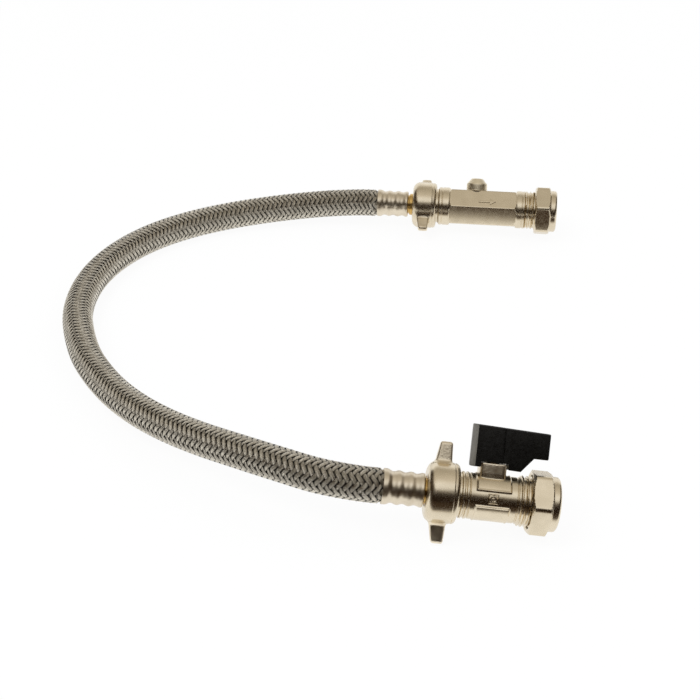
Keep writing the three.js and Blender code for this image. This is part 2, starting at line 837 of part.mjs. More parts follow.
// Check valve stations
const innerCollarStart = wingNutEnd + checkNeckGap;
const checkHexStart = innerCollarStart + checkInnerCollarLength;
const checkHexEnd = checkHexStart + checkHexLength;
const outerCollarEnd = checkHexEnd + checkOuterCollarLength;
const checkMouth = outerCollarEnd + checkVisibleThread + nutEngagement;
const checkCentre = (checkHexStart + checkHexEnd) / 2;
const checkPipeStop = outerCollarEnd - checkPipeStopInset;
const cartridgeBoreEnd = checkPipeStop - checkStopLength;
const cartridgeRadius = cartridgeBoreRadius - gap;
const secondCartridge = cartridgeBoreEnd - gap - cartridgeLength;
const bossX = checkCentre + bossOffset;
const sleeveLength = 2 * (secondCartridge - gap - bossX);
const sleeveStart = secondCartridge - gap - sleeveLength;
const firstCartridge = sleeveStart - gap - cartridgeLength;
const circlipStart = firstCartridge - gap - circlipThickness;
const bossFoot = checkHexAcross / 2;
const bossTop = bossFoot + bossStraight + bossCone;
const plugTop = bossTop - plugInset;
const plugLow = plugTop - plugLength;
const plugSealLow = plugLow - gap - plugSealThickness;

function checkValveBody() {
  const maleThreadEnd = wingNutEnd - farNutSlack - edgeBreak;
  const hexFlat = checkHexAcross / 2;
  const shell = turned([
    [valveStart, cartridgeBoreRadius],
    [valveStart, threadRadius - threadChamfer],
    [valveStart + threadChamfer, threadRadius],
    [maleThreadEnd, threadRadius],
    [maleThreadEnd + edgeBreak, checkReliefRadius],
    [innerCollarStart, checkReliefRadius],
    [innerCollarStart, checkInnerCollarRadius - edgeBreak],
    [innerCollarStart + edgeBreak, checkInnerCollarRadius],
    [checkHexStart - checkBevel, checkInnerCollarRadius],
    [checkHexStart + checkBevel, hexFlat - checkRootInset],
    [checkHexEnd - checkBevel, hexFlat - checkRootInset],
    [checkHexEnd + checkBevel, checkOuterCollarRadius],
    [outerCollarEnd - edgeBreak, checkOuterCollarRadius],
    [outerCollarEnd, checkOuterCollarRadius - edgeBreak],
    ...compressionMouth(outerCollarEnd, checkMouth, checkPipeStop),
    [checkPipeStop, checkStopBoreRadius],
    [cartridgeBoreEnd, checkStopBoreRadius],
    [cartridgeBoreEnd, cartridgeBoreRadius],
    [circlipStart + circlipThickness + gap / 2, cartridgeBoreRadius],
    [circlipStart + circlipThickness + gap / 2, cartridgeBoreRadius + circlipDepth],
    [circlipStart - gap / 2, cartridgeBoreRadius + circlipDepth],
    [circlipStart - gap / 2, cartridgeBoreRadius],
  ]);
  const hollow = rod(checkHexStart - past, checkHexEnd + past, cartridgeBoreRadius + 1);
  const bar = hexBar(checkHexStart, checkHexEnd, checkHexAcross, checkHexTurn);
  const hex = bar.subtract(hollow);
  const boss = uprightTurned(bossX, [
    [cartridgeBoreRadius + 1, 0],
    [cartridgeBoreRadius + 1, bossRadius],
    [bossFoot + bossStraight, bossRadius],
    [bossTop, bossTopRadius],
    [bossTop, 0],
  ]);
  const plugHole = upright(bossX, plugSealLow - gap, bossTop + past, plugRadius + gap, smallFacets);
  const port = upright(bossX, 0, bossTop, portRadius, smallFacets);
  return shell.add(hex).add(boss).subtract(plugHole).subtract(port);
}

function testPlug() {
  const blank = upright(bossX, plugLow, plugTop, plugRadius, smallFacets);
  const socket = upright(bossX, plugTop - plugSocketDepth, plugTop + past, plugSocketRadius, 6);
  return blank.subtract(socket);
}

function testPlugSeal() {
  return uprightTurned(bossX, [
    [plugSealLow, portRadius],
    [plugSealLow, plugRadius],
    [plugSealLow + plugSealThickness, plugRadius],
    [plugSealLow + plugSealThickness, portRadius],
  ], smallFacets);
}

function spacerSleeve() {
  const inner = cartridgeRadius - cartridgeWall;
  const sleeve = ring(sleeveStart, sleeveStart + sleeveLength, cartridgeRadius, inner, innerFacets);
  return sleeve.subtract(upright(bossX, 0, cartridgeRadius + past, portRadius, smallFacets));
}

function checkHousing(start) {
  const inner = cartridgeRadius - cartridgeWall;
  const grooveStart = start + cartridgeGrooveStart;
  const shell = turned([
    [start, cartridgeSeatRadius],
    [start, cartridgeRadius],
    [grooveStart, cartridgeRadius],
    [grooveStart, cartridgeRadius - cartridgeGrooveDepth],
    [grooveStart + cartridgeGrooveLength, cartridgeRadius - cartridgeGrooveDepth],
    [grooveStart + cartridgeGrooveLength, cartridgeRadius],
    [start + cartridgeLength, cartridgeRadius],
    [start + cartridgeLength, inner],
    [start + cartridgeSeatLength, inner],
    [start + cartridgeSeatLength, cartridgeSeatRadius],
  ], innerFacets);
  const spiderStart = start + cartridgeLength - spiderLength;
  let spider = rod(spiderStart, start + cartridgeLength, spiderHubRadius, smallFacets);
  for (let i = 0; i < spiderArmCount; i += 1) {
    const arm = block(
      [spiderStart, start + cartridgeLength],
      [-spiderArmWidth / 2, spiderArmWidth / 2],
      [0, inner + bite],
    );
    spider = spider.add(arm.rotate([(360 * i) / spiderArmCount, 0, 0]));
  }
  const guide = rod(start, start + cartridgeLength + past, poppetStemRadius + gap, smallFacets);
  return shell.add(spider.subtract(guide));
}

function checkPoppet(start) {
  const face = start + cartridgeSeatLength + gap;
  return turned([
    [face, 0],
    [face, poppetRadius - poppetBevel],
    [face + poppetBevel, poppetRadius],
    [face + poppetThickness, poppetRadius],
    [face + poppetThickness, poppetStemRadius],
    [start + cartridgeLength + poppetStemPast, poppetStemRadius],
    [start + cartridgeLength + poppetStemPast, 0],
  ], smallFacets);
}

class HelixCurve extends THREE.Curve {
  constructor(start, end, radius, turns) {
    super();
    Object.assign(this, { start, end, radius, turns });
  }

  getPoint(t, target = new THREE.Vector3()) {
    const angle = 2 * Math.PI * this.turns * t;
    const x = THREE.MathUtils.lerp(this.start, this.end, t);
    return target.set(x, this.radius * Math.cos(angle), this.radius * Math.sin(angle));
  }
}

function polygonShape(radius, sides) {
  const points = [];
  for (let i = 0; i < sides; i += 1) {
    const a = (2 * Math.PI * i) / sides;
    points.push(new THREE.Vector2(radius * Math.cos(a), radius * Math.sin(a)));
  }
  return points;
}

function checkSpring(start) {
  const low = start + cartridgeSeatLength + gap + poppetThickness + gap + springWire;
  const high = start + cartridgeLength - spiderLength - gap - springWire;
  const path = new HelixCurve(low, high, springRadius, springTurns);
  return toSolid(new THREE.ExtrudeGeometry(new THREE.Shape(polygonShape(springWire, 5)), {
    steps: springTurns * springStepsPerTurn, extrudePath: path, bevelEnabled: false,
  }));
}

function checkSeal(start) {
  const middle = start + cartridgeGrooveStart + cartridgeGrooveLength / 2;
  const section = oRingSection * 1.5;
  return oRing(middle, cartridgeRadius - cartridgeGrooveDepth + gap / 2 + section, section);
}

function circlip() {
  const outer = cartridgeBoreRadius + circlipDepth - gap / 2;
  const full = ring(circlipStart, circlipStart + circlipThickness, outer, outer - circlipSpan, innerFacets);
  const half = outer * Math.sin(degrees(circlipOpening / 2));
  const opening = block(
    [circlipStart - past, circlipStart + circlipThickness + past],
    [-half, half],
    [-outer - past, 0],
  );
  return full.subtract(opening);
}

// The swept part of the hose, between the radii given
function sweptHose(outer, inner) {
  const shape = new THREE.Shape(polygonShape(outer, hoseFacets));
  shape.holes.push(new THREE.Path(polygonShape(inner, hoseFacets)));
  const path = new THREE.CatmullRomCurve3(hoseRoute.map((point) => new THREE.Vector3(...point)));
  return toSolid(new THREE.ExtrudeGeometry(shape, {
    steps: hoseSteps, extrudePath: path, bevelEnabled: false,
  }));
}

// Puts a valve on the surface: turned, then lowered or raised until its lowest point is at 0
function laidDown(pieces, mouth, roll, tip, swing) {
  const group = new THREE.Group();
  group.add(...pieces);
  group.rotation.set(degrees(roll), degrees(tip), degrees(swing), 'ZYX');
  group.updateMatrixWorld(true);
  const box = new THREE.Box3().setFromObject(group, true);
  group.position.set(mouth.x, mouth.y, -box.min.z);
  group.updateMatrixWorld(true);
  return group;
}

function swivelEnd(prefix, wingTurn, nutSlack) {
  return [
    toMesh(`${prefix}_ferrule`, ferrule(), nickel),
    toMesh(`${prefix}_hose_tail`, hoseTail(), brass),
    toMesh(`${prefix}_wing_nut`, wingNut(wingTurn, nutSlack), nickel),
    toMesh(`${prefix}_sealing_washer`, sealingWasher(), fibre),
  ];
}

// The near valve leans on one wing tip, so its tip angle comes from the two contact heights
function nearTip() {
  const fromLevel = degrees(90 + nearRoll);
  const wingHeight = wingReach * Math.sin(fromLevel) + (wingTipThickness / 2) * Math.cos(fromLevel);
  const nutHeight = nutAcrossFlats / 2 / Math.cos(Math.PI / 6);
  const wingX = wingNutStart - nearNutSlack + wingTipStart + wingTipLength / 2;
  const nutX = ballMouth - nutEngagement + nutHexLength - nutChamfer;
  return THREE.MathUtils.radToDeg(Math.asin((wingHeight - nutHeight) / (nutX - wingX)));
}

const ballValve = laidDown([
  ...swivelEnd('ball_valve', 0, nearNutSlack),
  toMesh('ball_valve_body', ballValveBody(), nickel),
  toMesh('ball', ball(), nickel),
  toMesh('hose_side_ball_seat', ballSeat(-1), ptfe),
  toMesh('pipe_side_ball_seat', ballSeat(1), ptfe),
  toMesh('seat_retainer', seatRetainer(), brass),
  toMesh('spindle', spindle(), brass),
  toMesh('spindle_o_ring', spindleORing(), rubber),
  toMesh('lever_handle', leverHandle(), blackPlastic),
  toMesh('lever_screw', leverScrew(), steel),
  toMesh('ball_valve_compression_nut', compressionNut(ballMouth, nearNutTurn), nickel),
  toMesh('ball_valve_olive', olive(ballMouth), brass),
], nearMouth, nearRoll, nearTip(), nearSwing);

const checkCartridges = [['first', firstCartridge], ['second', secondCartridge]];

const checkValve = laidDown([
  ...swivelEnd('check_valve', farWingTurn, farNutSlack),
  toMesh('check_valve_body', checkValveBody(), nickel),
  toMesh('test_plug', testPlug(), nickel),
  toMesh('test_plug_seal', testPlugSeal(), rubber),
  toMesh('cartridge_spacer', spacerSleeve(), acetal),
  toMesh('cartridge_circlip', circlip(), steel),
  ...checkCartridges.flatMap(([order, start]) => [
    toMesh(`${order}_check_housing`, checkHousing(start), acetal),
    toMesh(`${order}_check_poppet`, checkPoppet(start), blackPlastic),
    toMesh(`${order}_check_spring`, checkSpring(start), steel),
    toMesh(`${order}_check_seal`, checkSeal(start), rubber),
  ]),
  toMesh('check_valve_compression_nut', compressionNut(checkMouth, farNutTurn), nickel),
  toMesh('check_valve_olive', olive(checkMouth), brass),
], farMouth, farRoll, farTip, farSwing);

// The liner runs on into both ferrules
function hoseLiner() {
  const near = crimpedLiner().transform(ballValve.matrixWorld.elements);
  const far = crimpedLiner().transform(checkValve.matrixWorld.elements);
  return sweptHose(linerOuter, linerInner).add(near).add(far);
}

const loop = new THREE.Group();
loop.add(ballValve, checkValve);

// The origin is under the middle of the two valves
const valvesBox = new THREE.Box3().setFromObject(loop, true);
const middle = valvesBox.getCenter(new THREE.Vector3());
loop.add(
  toMesh('hose_braid', sweptHose(hoseRadius, hoseRadius - braidThickness), steel),
  toMesh('hose_liner', hoseLiner(), rubber),
);
loop.position.set(-middle.x, -middle.y, -valvesBox.min.z);

export default loop;
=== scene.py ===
# Filling loop: a braided hose with a lever ball valve on one end and a double check valve
# on the other, lying on a white surface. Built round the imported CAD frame, in metres.
import math
import bmesh
import bpy
import numpy as np
from mathutils import Matrix, Vector


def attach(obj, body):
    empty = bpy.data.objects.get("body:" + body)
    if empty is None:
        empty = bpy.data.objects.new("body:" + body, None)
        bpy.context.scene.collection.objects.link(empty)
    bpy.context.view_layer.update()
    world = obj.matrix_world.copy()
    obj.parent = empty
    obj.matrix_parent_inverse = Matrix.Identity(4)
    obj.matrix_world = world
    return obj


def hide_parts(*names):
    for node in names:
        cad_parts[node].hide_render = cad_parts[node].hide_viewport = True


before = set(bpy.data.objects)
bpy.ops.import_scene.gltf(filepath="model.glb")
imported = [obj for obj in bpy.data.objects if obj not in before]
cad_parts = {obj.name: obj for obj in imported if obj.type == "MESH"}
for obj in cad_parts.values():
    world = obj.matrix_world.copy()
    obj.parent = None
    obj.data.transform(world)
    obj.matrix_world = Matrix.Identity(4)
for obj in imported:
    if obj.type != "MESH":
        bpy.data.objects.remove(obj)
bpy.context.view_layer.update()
mm = 0.001
turn = 2 * math.pi
collection = bpy.context.scene.collection

cameraView = {
    "place": (-0.06064, -0.60657, 0.384),
    "tilt": 32.5,  # degrees below the horizon
    "roll": 2.1,
    "lens": 77.143,  # for a 36 mm wide sensor
}

# Each valve is drawn along its own axis, in millimetres from the mouth of its ferrule
ballEnd = {
    "mouth": (-46.044, -134.174, 19.825),
    "along": (0.995955, 0.0, -0.089855),
    "up": (0.074493, 0.559193, 0.825684),
}
checkEnd = {
    "mouth": (-48.344, 128.826, 11.625),
    "along": (0.996128, -0.083647, 0.027049),
    "up": (0.01624, 0.477474, 0.878496),
}


def addObject(name, data):
    made = bpy.data.objects.new(name, data)
    collection.objects.link(made)
    return made


camera = addObject("camera", bpy.data.cameras.new("camera"))
camera.data.sensor_width = 36
camera.data.lens = cameraView["lens"]
camera.matrix_world = (
    Matrix.Translation(cameraView["place"])
    @ Matrix.Rotation(math.radians(90 - cameraView["tilt"]), 4, "X")
    @ Matrix.Rotation(math.radians(cameraView["roll"]), 4, "Z")
)
bpy.context.scene.camera = camera


def newMaterial(name):
    material = bpy.data.materials.new(name)
    material.use_nodes = True
    tree = material.node_tree
    return material, tree, tree.nodes["Principled BSDF"]


def addNode(tree, kind, values=None, **settings):
    node = tree.nodes.new(kind)
    for key, value in settings.items():
        setattr(node, key, value)
    for key, value in (values or {}).items():
        node.inputs[key].default_value = value
    return node


# The output of a new node whose inputs take the given sockets and values
def wired(tree, kind, links, values=None, output=0, **settings):
    node = addNode(tree, kind, values, **settings)
    for key, source in links.items():
        tree.links.new(source, node.inputs[key])
    return node.outputs[output]


def computed(tree, operation, first, second=None):
    links = {0: first}
    values = {}
    if isinstance(second, (int, float)):
        values[1] = second
    elif second:
        links[1] = second
    return wired(tree, "ShaderNodeMath", links, values, operation=operation)


def separated(tree, source):
    split = addNode(tree, "ShaderNodeSeparateXYZ")
    tree.links.new(source, split.inputs[0])
    return split.outputs


def patterned(tree, scale, detail=3.0, stretch=(1, 1, 1), attribute=None):
    if attribute:
        spot = addNode(tree, "ShaderNodeAttribute", attribute_name=attribute).outputs["Vector"]
    else:
        spot = addNode(tree, "ShaderNodeTexCoord").outputs["Object"]
    placed = wired(tree, "ShaderNodeMapping", {"Vector": spot}, {"Scale": stretch})
    values = {"Scale": scale, "Detail": detail}
    return wired(tree, "ShaderNodeTexNoise", {"Vector": placed}, values, "Fac")


def ranged(tree, value, low, high, fromLow=0.3, fromHigh=0.7):
    limits = {"From Min": fromLow, "From Max": fromHigh, "To Min": low, "To Max": high}
    return wired(tree, "ShaderNodeMapRange", {"Value": value}, limits, "Result")


def mixed(tree, amount, first, second):
    node = addNode(tree, "ShaderNodeMix", data_type="RGBA")
    tree.links.new(amount, node.inputs[0])
    for place, shade in ((6, first), (7, second)):
        if isinstance(shade, tuple):
            node.inputs[place].default_value = (*shade, 1)
        else:
            tree.links.new(shade, node.inputs[place])
    return node.outputs[2]


def bumped(tree, shader, heights):
    links = {}
    for height, distance in heights:
        links["Height"] = height
        links["Normal"] = wired(tree, "ShaderNodeBump", links, {"Distance": distance, "Strength": 1})
    tree.links.new(links["Normal"], shader.inputs["Normal"])


# Colours and roughness at the two ends of their variation, grain per metre and its depth. The
# turning lines go round the valve: lines per millimetre and depth
def finish(dark, light, rough, grain, turning=None):
    return {"colours": (dark, light), "rough": rough, "grain": grain, "turning": turning}


metals = {
    "nickelSatin": finish((0.71, 0.62, 0.465), (0.79, 0.695, 0.53), (0.23, 0.3), (2600, 0.000006),
                          (5.0, 0.000006)),
    "nickelCast": finish((0.68, 0.58, 0.43), (0.92, 0.83, 0.66), (0.28, 0.38), (1700, 0.0001)),
    # The next finish, on the check valve's boss, is a rougher nickel; its colour is lighter than the other
    # nickel as painted light
    "nickelMattePaintedLight": finish((0.9, 0.8, 0.6), (0.96, 0.87, 0.68), (0.42, 0.5), (2600, 0.00001)),
    "nickelFerrule": finish((0.7, 0.615, 0.48), (0.8, 0.71, 0.56), (0.3, 0.38), (2600, 0.000006)),
    "brassTurned": finish((0.62, 0.4, 0.13), (0.8, 0.56, 0.22), (0.22, 0.34), (2600, 0.00002),
                          (6.0, 0.00002)),
    "plainSteel": finish((0.42, 0.41, 0.4), (0.56, 0.55, 0.53), (0.28, 0.42), (2600, 0.00002)),
}
others = {
    "leverPlastic": finish((0.002, 0.002, 0.002), (0.004, 0.004, 0.0035), (0.22, 0.34), (2200, 0.00003)),
    # The next finish is the lever's black plastic painted light grey for its left end face: a painted
    # reflection of the white surroundings
    "leverEndPaintedReflection": finish((0.1, 0.095, 0.08), (0.16, 0.15, 0.13), (0.3, 0.45), (2200, 0.00003)),
    "poppetPlastic": finish((0.01, 0.01, 0.011), (0.02, 0.02, 0.02), (0.35, 0.5), (1800, 0.00002)),
    "sealRubber": finish((0.012, 0.012, 0.012), (0.03, 0.03, 0.03), (0.6, 0.8), (1800, 0.00003)),
    "linerRubber": finish((0.008, 0.008, 0.009), (0.02, 0.02, 0.02), (0.5, 0.7), (900, 0.00005)),
    "pressedFibre": finish((0.3, 0.1, 0.06), (0.42, 0.17, 0.1), (0.7, 0.85), (1400, 0.00008)),
    "seatPlastic": finish((0.86, 0.85, 0.82), (0.93, 0.92, 0.9), (0.35, 0.5), (1800, 0.00002)),
    "cartridgePlastic": finish((0.76, 0.73, 0.67), (0.85, 0.83, 0.78), (0.4, 0.55), (1500, 0.00003)),
}


def finishMaterial(name, look, metallic, cloudScale, patchScale):
    material, tree, shader = newMaterial(name)
    shader.inputs["Metallic"].default_value = metallic
    colour = mixed(tree, ranged(tree, patterned(tree, cloudScale), 0, 1), *look["colours"])
    tree.links.new(colour, shader.inputs["Base Color"])
    rough = ranged(tree, patterned(tree, patchScale, 4), *look["rough"])
    tree.links.new(rough, shader.inputs["Roughness"])
    grain, grainDepth = look["grain"]
    heights = [(patterned(tree, grain, 2), grainDepth)]
    if look["turning"]:
        scale, depth = look["turning"]
        heights.append((patterned(tree, scale, 2, (1, 0.02, 0.02), "valve"), depth))
    bumped(tree, shader, heights)
    return material


def braidMaterial():
    material, tree, shader = newMaterial("braidWire")
    shader.inputs["Metallic"].default_value = 1
    spot = separated(tree, addNode(tree, "ShaderNodeUVMap", uv_map="wires").outputs["UV"])
    wires = computed(tree, "MULTIPLY", spot["Y"], turn / 2 * hose["wiresAcross"])
    crest = computed(tree, "ABSOLUTE", computed(tree, "SINE", wires))
    # Painted shade: edge and lift take the wire colour to near black at each ribbon's edges and where a
    # ribbon dips under the others
    away = computed(tree, "ABSOLUTE", computed(tree, "SUBTRACT", spot["Y"], 0.5))
    edge = ranged(tree, away, 1, 0.06, 0.36, 0.49)
    lift = ranged(tree, spot["X"], 0.12, 1, 0.05, 0.6)
    shade = ranged(tree, patterned(tree, 300), 0, 1)
    colour = mixed(tree, shade, (0.63, 0.58, 0.485), (0.86, 0.805, 0.69))
    shown = mixed(tree, computed(tree, "MULTIPLY", edge, lift), (0.02, 0.018, 0.015), colour)
    tree.links.new(shown, shader.inputs["Base Color"])
    tree.links.new(ranged(tree, patterned(tree, 500), 0.24, 0.4), shader.inputs["Roughness"])
    bumped(tree, shader, [(crest, 0.00012)])
    return material


# Outlines are lists of (x, radius) or (x, radius, rounding)
def roundedOutline(points, steps=4):
    made = []
    count = len(points)
    for i, corner in enumerate(points):
        here = np.array(corner[:2], float)
        rounding = corner[2] if len(corner) > 2 else 0
        if not rounding:
            made.append(here)
            continue
        before = np.array(points[i - 1][:2], float) - here
        after = np.array(points[(i + 1) % count][:2], float) - here
        reach = min(rounding, np.linalg.norm(before) * 0.49, np.linalg.norm(after) * 0.49)
        start = here + before / np.linalg.norm(before) * reach
        end = here + after / np.linalg.norm(after) * reach
        for k in range(steps + 1):
            t = k / steps
            made.append((1 - t) ** 2 * start + 2 * t * (1 - t) * here + t ** 2 * end)
    return np.array(made)


def finely(outline, step):
    made = []
    for a, b in zip(outline, np.roll(outline, -1, axis=0)):
        pieces = max(1, int(math.ceil(np.linalg.norm(b - a) / step)))
        for k in range(pieces):
            made.append(a + (b - a) * k / pieces)
    return np.array(made)


def gridFaces(rows, columns, closeRows, closeColumns=True, base=0):
    faces = []
    for i in range(rows if closeRows else rows - 1):
        for j in range(columns if closeColumns else columns - 1):
            a, b = i * columns, (i + 1) % rows * columns
            k = (j + 1) % columns
            faces.append((base + a + j, base + a + k, base + b + k, base + b + j))
    return faces


def anglesRound(count):
    return np.arange(count) * turn / count


def level(x, y, z):
    return np.stack([x, y, np.full(len(x), z)], 1)


def circleAt(x, radius, z, angles):
    return level(x + radius * np.cos(angles), radius * np.sin(angles), z)


# A closed surface round the valve's axis, where reshape may change the radius with the angle
def swept(outline, segments=96, reshape=None, step=None, rounding=4):
    points = roundedOutline(outline, rounding)
    if step:
        points = finely(points, step)
    x = np.repeat(points[:, 0], segments)
    radius = np.repeat(points[:, 1], segments)
    angle = np.tile(anglesRound(segments), len(points))
    if reshape:
        radius = reshape(x, radius, angle)
    verts = np.stack([x, radius * np.sin(angle), radius * np.cos(angle)], 1)
    return verts, gridFaces(len(points), segments, True)


# A part turned about the valve's axis, or in another plane of its axes
def turnedAbout(part, degrees, first=1, second=2):
    verts, faces = part
    a = math.radians(degrees)
    turned = verts.copy()
    turned[:, first] = verts[:, first] * math.cos(a) - verts[:, second] * math.sin(a)
    turned[:, second] = verts[:, first] * math.sin(a) + verts[:, second] * math.cos(a)
    return turned, faces


def shifted(part, x):
    return part[0] + np.array([x, 0, 0]), part[1]


def stacked(rings):
    rings = [np.asarray(ring) for ring in rings]
    columns = len(rings[0])
    faces = gridFaces(len(rings), columns, False)
    faces.append(tuple(range(columns - 1, -1, -1)))
    last = (len(rings) - 1) * columns
    faces.append(tuple(range(last, last + columns)))
    return np.concatenate(rings), faces


def facedOutward(mesh, mergeDistance=0):
    shape = bmesh.new()
    shape.from_mesh(mesh)
    if mergeDistance:
        bmesh.ops.remove_doubles(shape, verts=shape.verts, dist=mergeDistance)
    bmesh.ops.recalc_face_normals(shape, faces=shape.faces)
    shape.to_mesh(mesh)
    shape.free()


def takenFrom(shape):
    shape.verts.index_update()
    verts = np.array([vert.co[:] for vert in shape.verts])
    faces = [tuple(vert.index for vert in face.verts) for face in shape.faces]
    shape.free()
    return verts, faces


def endMatrix(end):
    along = np.array(end["along"])
    up = np.array(end["up"])
    matrix = np.eye(4)
    matrix[:3, 0] = along * mm
    matrix[:3, 1] = np.cross(up, along) * mm
    matrix[:3, 2] = up * mm
    matrix[:3, 3] = np.array(end["mouth"]) * mm
    return matrix


def buildPiece(name, parts, end, looks, pick=None, sharpAngle=35):
    verts, faces, base = [], [], 0
    for partVerts, partFaces in parts:
        verts.append(partVerts)
        faces += [tuple(base + k for k in face) for face in partFaces]
        base += len(partVerts)
    local = np.concatenate(verts)
    matrix = endMatrix(end)
    world = local @ matrix[:3, :3].T + matrix[:3, 3]
    mesh = bpy.data.meshes.new(name)
    mesh.from_pydata(world.tolist(), [], faces)
    own = mesh.attributes.new("valve", "FLOAT_VECTOR", "POINT")
    own.data.foreach_set("vector", local.astype(np.float32).ravel())
    facedOutward(mesh, mergeDistance=2e-6)
    for look in looks:
        mesh.materials.append(finishes[look])
    if pick:
        spots = np.empty(len(mesh.vertices) * 3, np.float32)
        mesh.attributes["valve"].data.foreach_get("vector", spots)
        spots = spots.reshape(-1, 3)
        for face in mesh.polygons:
            face.material_index = pick(spots[list(face.vertices)].mean(0))
    mesh.shade_smooth()
    mesh.set_sharp_from_angle(angle=math.radians(sharpAngle))
    return addObject(name, mesh)


def standsFor(piece, body, slot, *nodes):
    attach(piece, body)
    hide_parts(*nodes)


# The thread that shows on the bodies: on their pipe ends and on their ends at the hose
threads = {"pitch": 1.814, "depth": 0.8, "fade": 0.9, "pipeCrest": 10.2, "hoseCrest": 10.4}


def eased(value):
    share = np.clip(value, 0, 1)
    return share * share * (3 - 2 * share)


def threadReshape(start, end, crest):
    depth, fade = threads["depth"], threads["fade"]

    def reshape(x, radius, angle):
        phase = (x / threads["pitch"] - angle / turn) % 1
        tooth = eased(1.25 - np.abs(phase - 0.5) * 4.2)
        inside = np.clip((x - start) / fade, 0, 1) * np.clip((end - x) / fade, 0, 1)
        outer = radius > crest - depth - 0.5
        cut = depth * (1 - tooth) * np.clip(inside * 1.6, 0, 1)
        return np.where(outer & (x > start) & (x < end), np.minimum(radius, crest - cut), radius)
    return reshape


def hexRadius(angle, acrossFlats, turned, rounding):
    sixth = turn / 6
    part = np.abs((angle - math.radians(turned)) % sixth - sixth / 2)
    nearest = acrossFlats / 2 / np.cos(part)
    beyond = acrossFlats / 2 / np.cos(sixth - part)
    return smoothMin(nearest, beyond, rounding)


def smoothMin(a, b, blend):
    h = np.clip(0.5 + 0.5 * (b - a) / blend, 0, 1)
    return b * (1 - h) + a * h - blend * h * (1 - h)


# Hose: the route is the centreline's, in millimetres
hose = {
    "radius": 7.25,
    "linerRadius": 6.3,
    "carriers": 24,
    "pitch": 32.0,
    "ribbonWidth": 1.78,
    "weaveRise": 0.2,
    "ribbonCrown": 0.12,
    "ribbonAcross": 4,
    "stepLength": 0.88,
    "intoFerrule": 1.5,
    "taperLength": 1.4,
    "taperRadius": 6.3,
    "wiresAcross": 7,
    "route": [
        (-46.344, -134.174, 19.9), (-54.344, -134.074, 20.5), (-71.344, -130.474, 20.9),
        (-88.744, -121.974, 20), (-105.544, -111.674, 17.9), (-121.544, -100.674, 15.2),
        (-136.544, -88.674, 12.6), (-150.144, -75.774, 10.5), (-162.544, -61.274, 9),
        (-172.644, -46.074, 8), (-181.344, -29.474, 7.5), (-187.644, -11.274, 7.3),
        (-191.844, 7.426, 7.3), (-192.344, 26.226, 7.3), (-189.544, 44.526, 7.3),
        (-183.344, 62.026, 7.3), (-174.044, 78.026, 7.3), (-161.744, 92.226, 7.3),
        (-146.944, 104.026, 7.4), (-130.244, 113.426, 7.7), (-112.244, 120.426, 8.3),
        (-93.544, 125.426, 9.2), (-74.444, 128.426, 10.3), (-55.644, 129.426, 11.2),
        (-48.644, 128.826, 11.4),
    ],
}


def blend(t, low, high, first, second):
    return (high - t) / (high - low) * first + (t - low) / (high - low) * second


def smoothRoute(points, spacing):
    p = np.array(points, float)
    ends = np.vstack([2 * p[0] - p[1], p, 2 * p[-1] - p[-2]])
    made = []
    for i in range(1, len(ends) - 2):
        a, b, c, d = ends[i - 1: i + 3]
        t0 = 0
        t1 = t0 + np.linalg.norm(b - a) ** 0.5
        t2 = t1 + np.linalg.norm(c - b) ** 0.5
        t3 = t2 + np.linalg.norm(d - c) ** 0.5
        for t in np.linspace(t1, t2, 24, endpoint=False):
            ab, bc, cd = blend(t, t0, t1, a, b), blend(t, t1, t2, b, c), blend(t, t2, t3, c, d)
            made.append(blend(t, t1, t2, blend(t, t0, t2, ab, bc), blend(t, t1, t3, bc, cd)))
    made.append(p[-1])
    made = np.array(made)
    steps = np.linalg.norm(np.diff(made, axis=0), axis=1)
    reach = np.concatenate([[0], np.cumsum(steps)])
    wanted = np.linspace(0, reach[-1], int(reach[-1] / spacing) + 1)
    return np.stack([np.interp(wanted, reach, made[:, k]) for k in range(3)], 1), reach[-1]


def routeCurve(points):
    line = bpy.data.curves.new("hoseLine", "CURVE")
    line.dimensions = "3D"
    spline = line.splines.new("POLY")
    spline.points.add(len(points) - 1)
    spline.points.foreach_set("co", np.hstack([points * mm, np.ones((len(points), 1))]).ravel())
    return addObject("hoseLine", line)


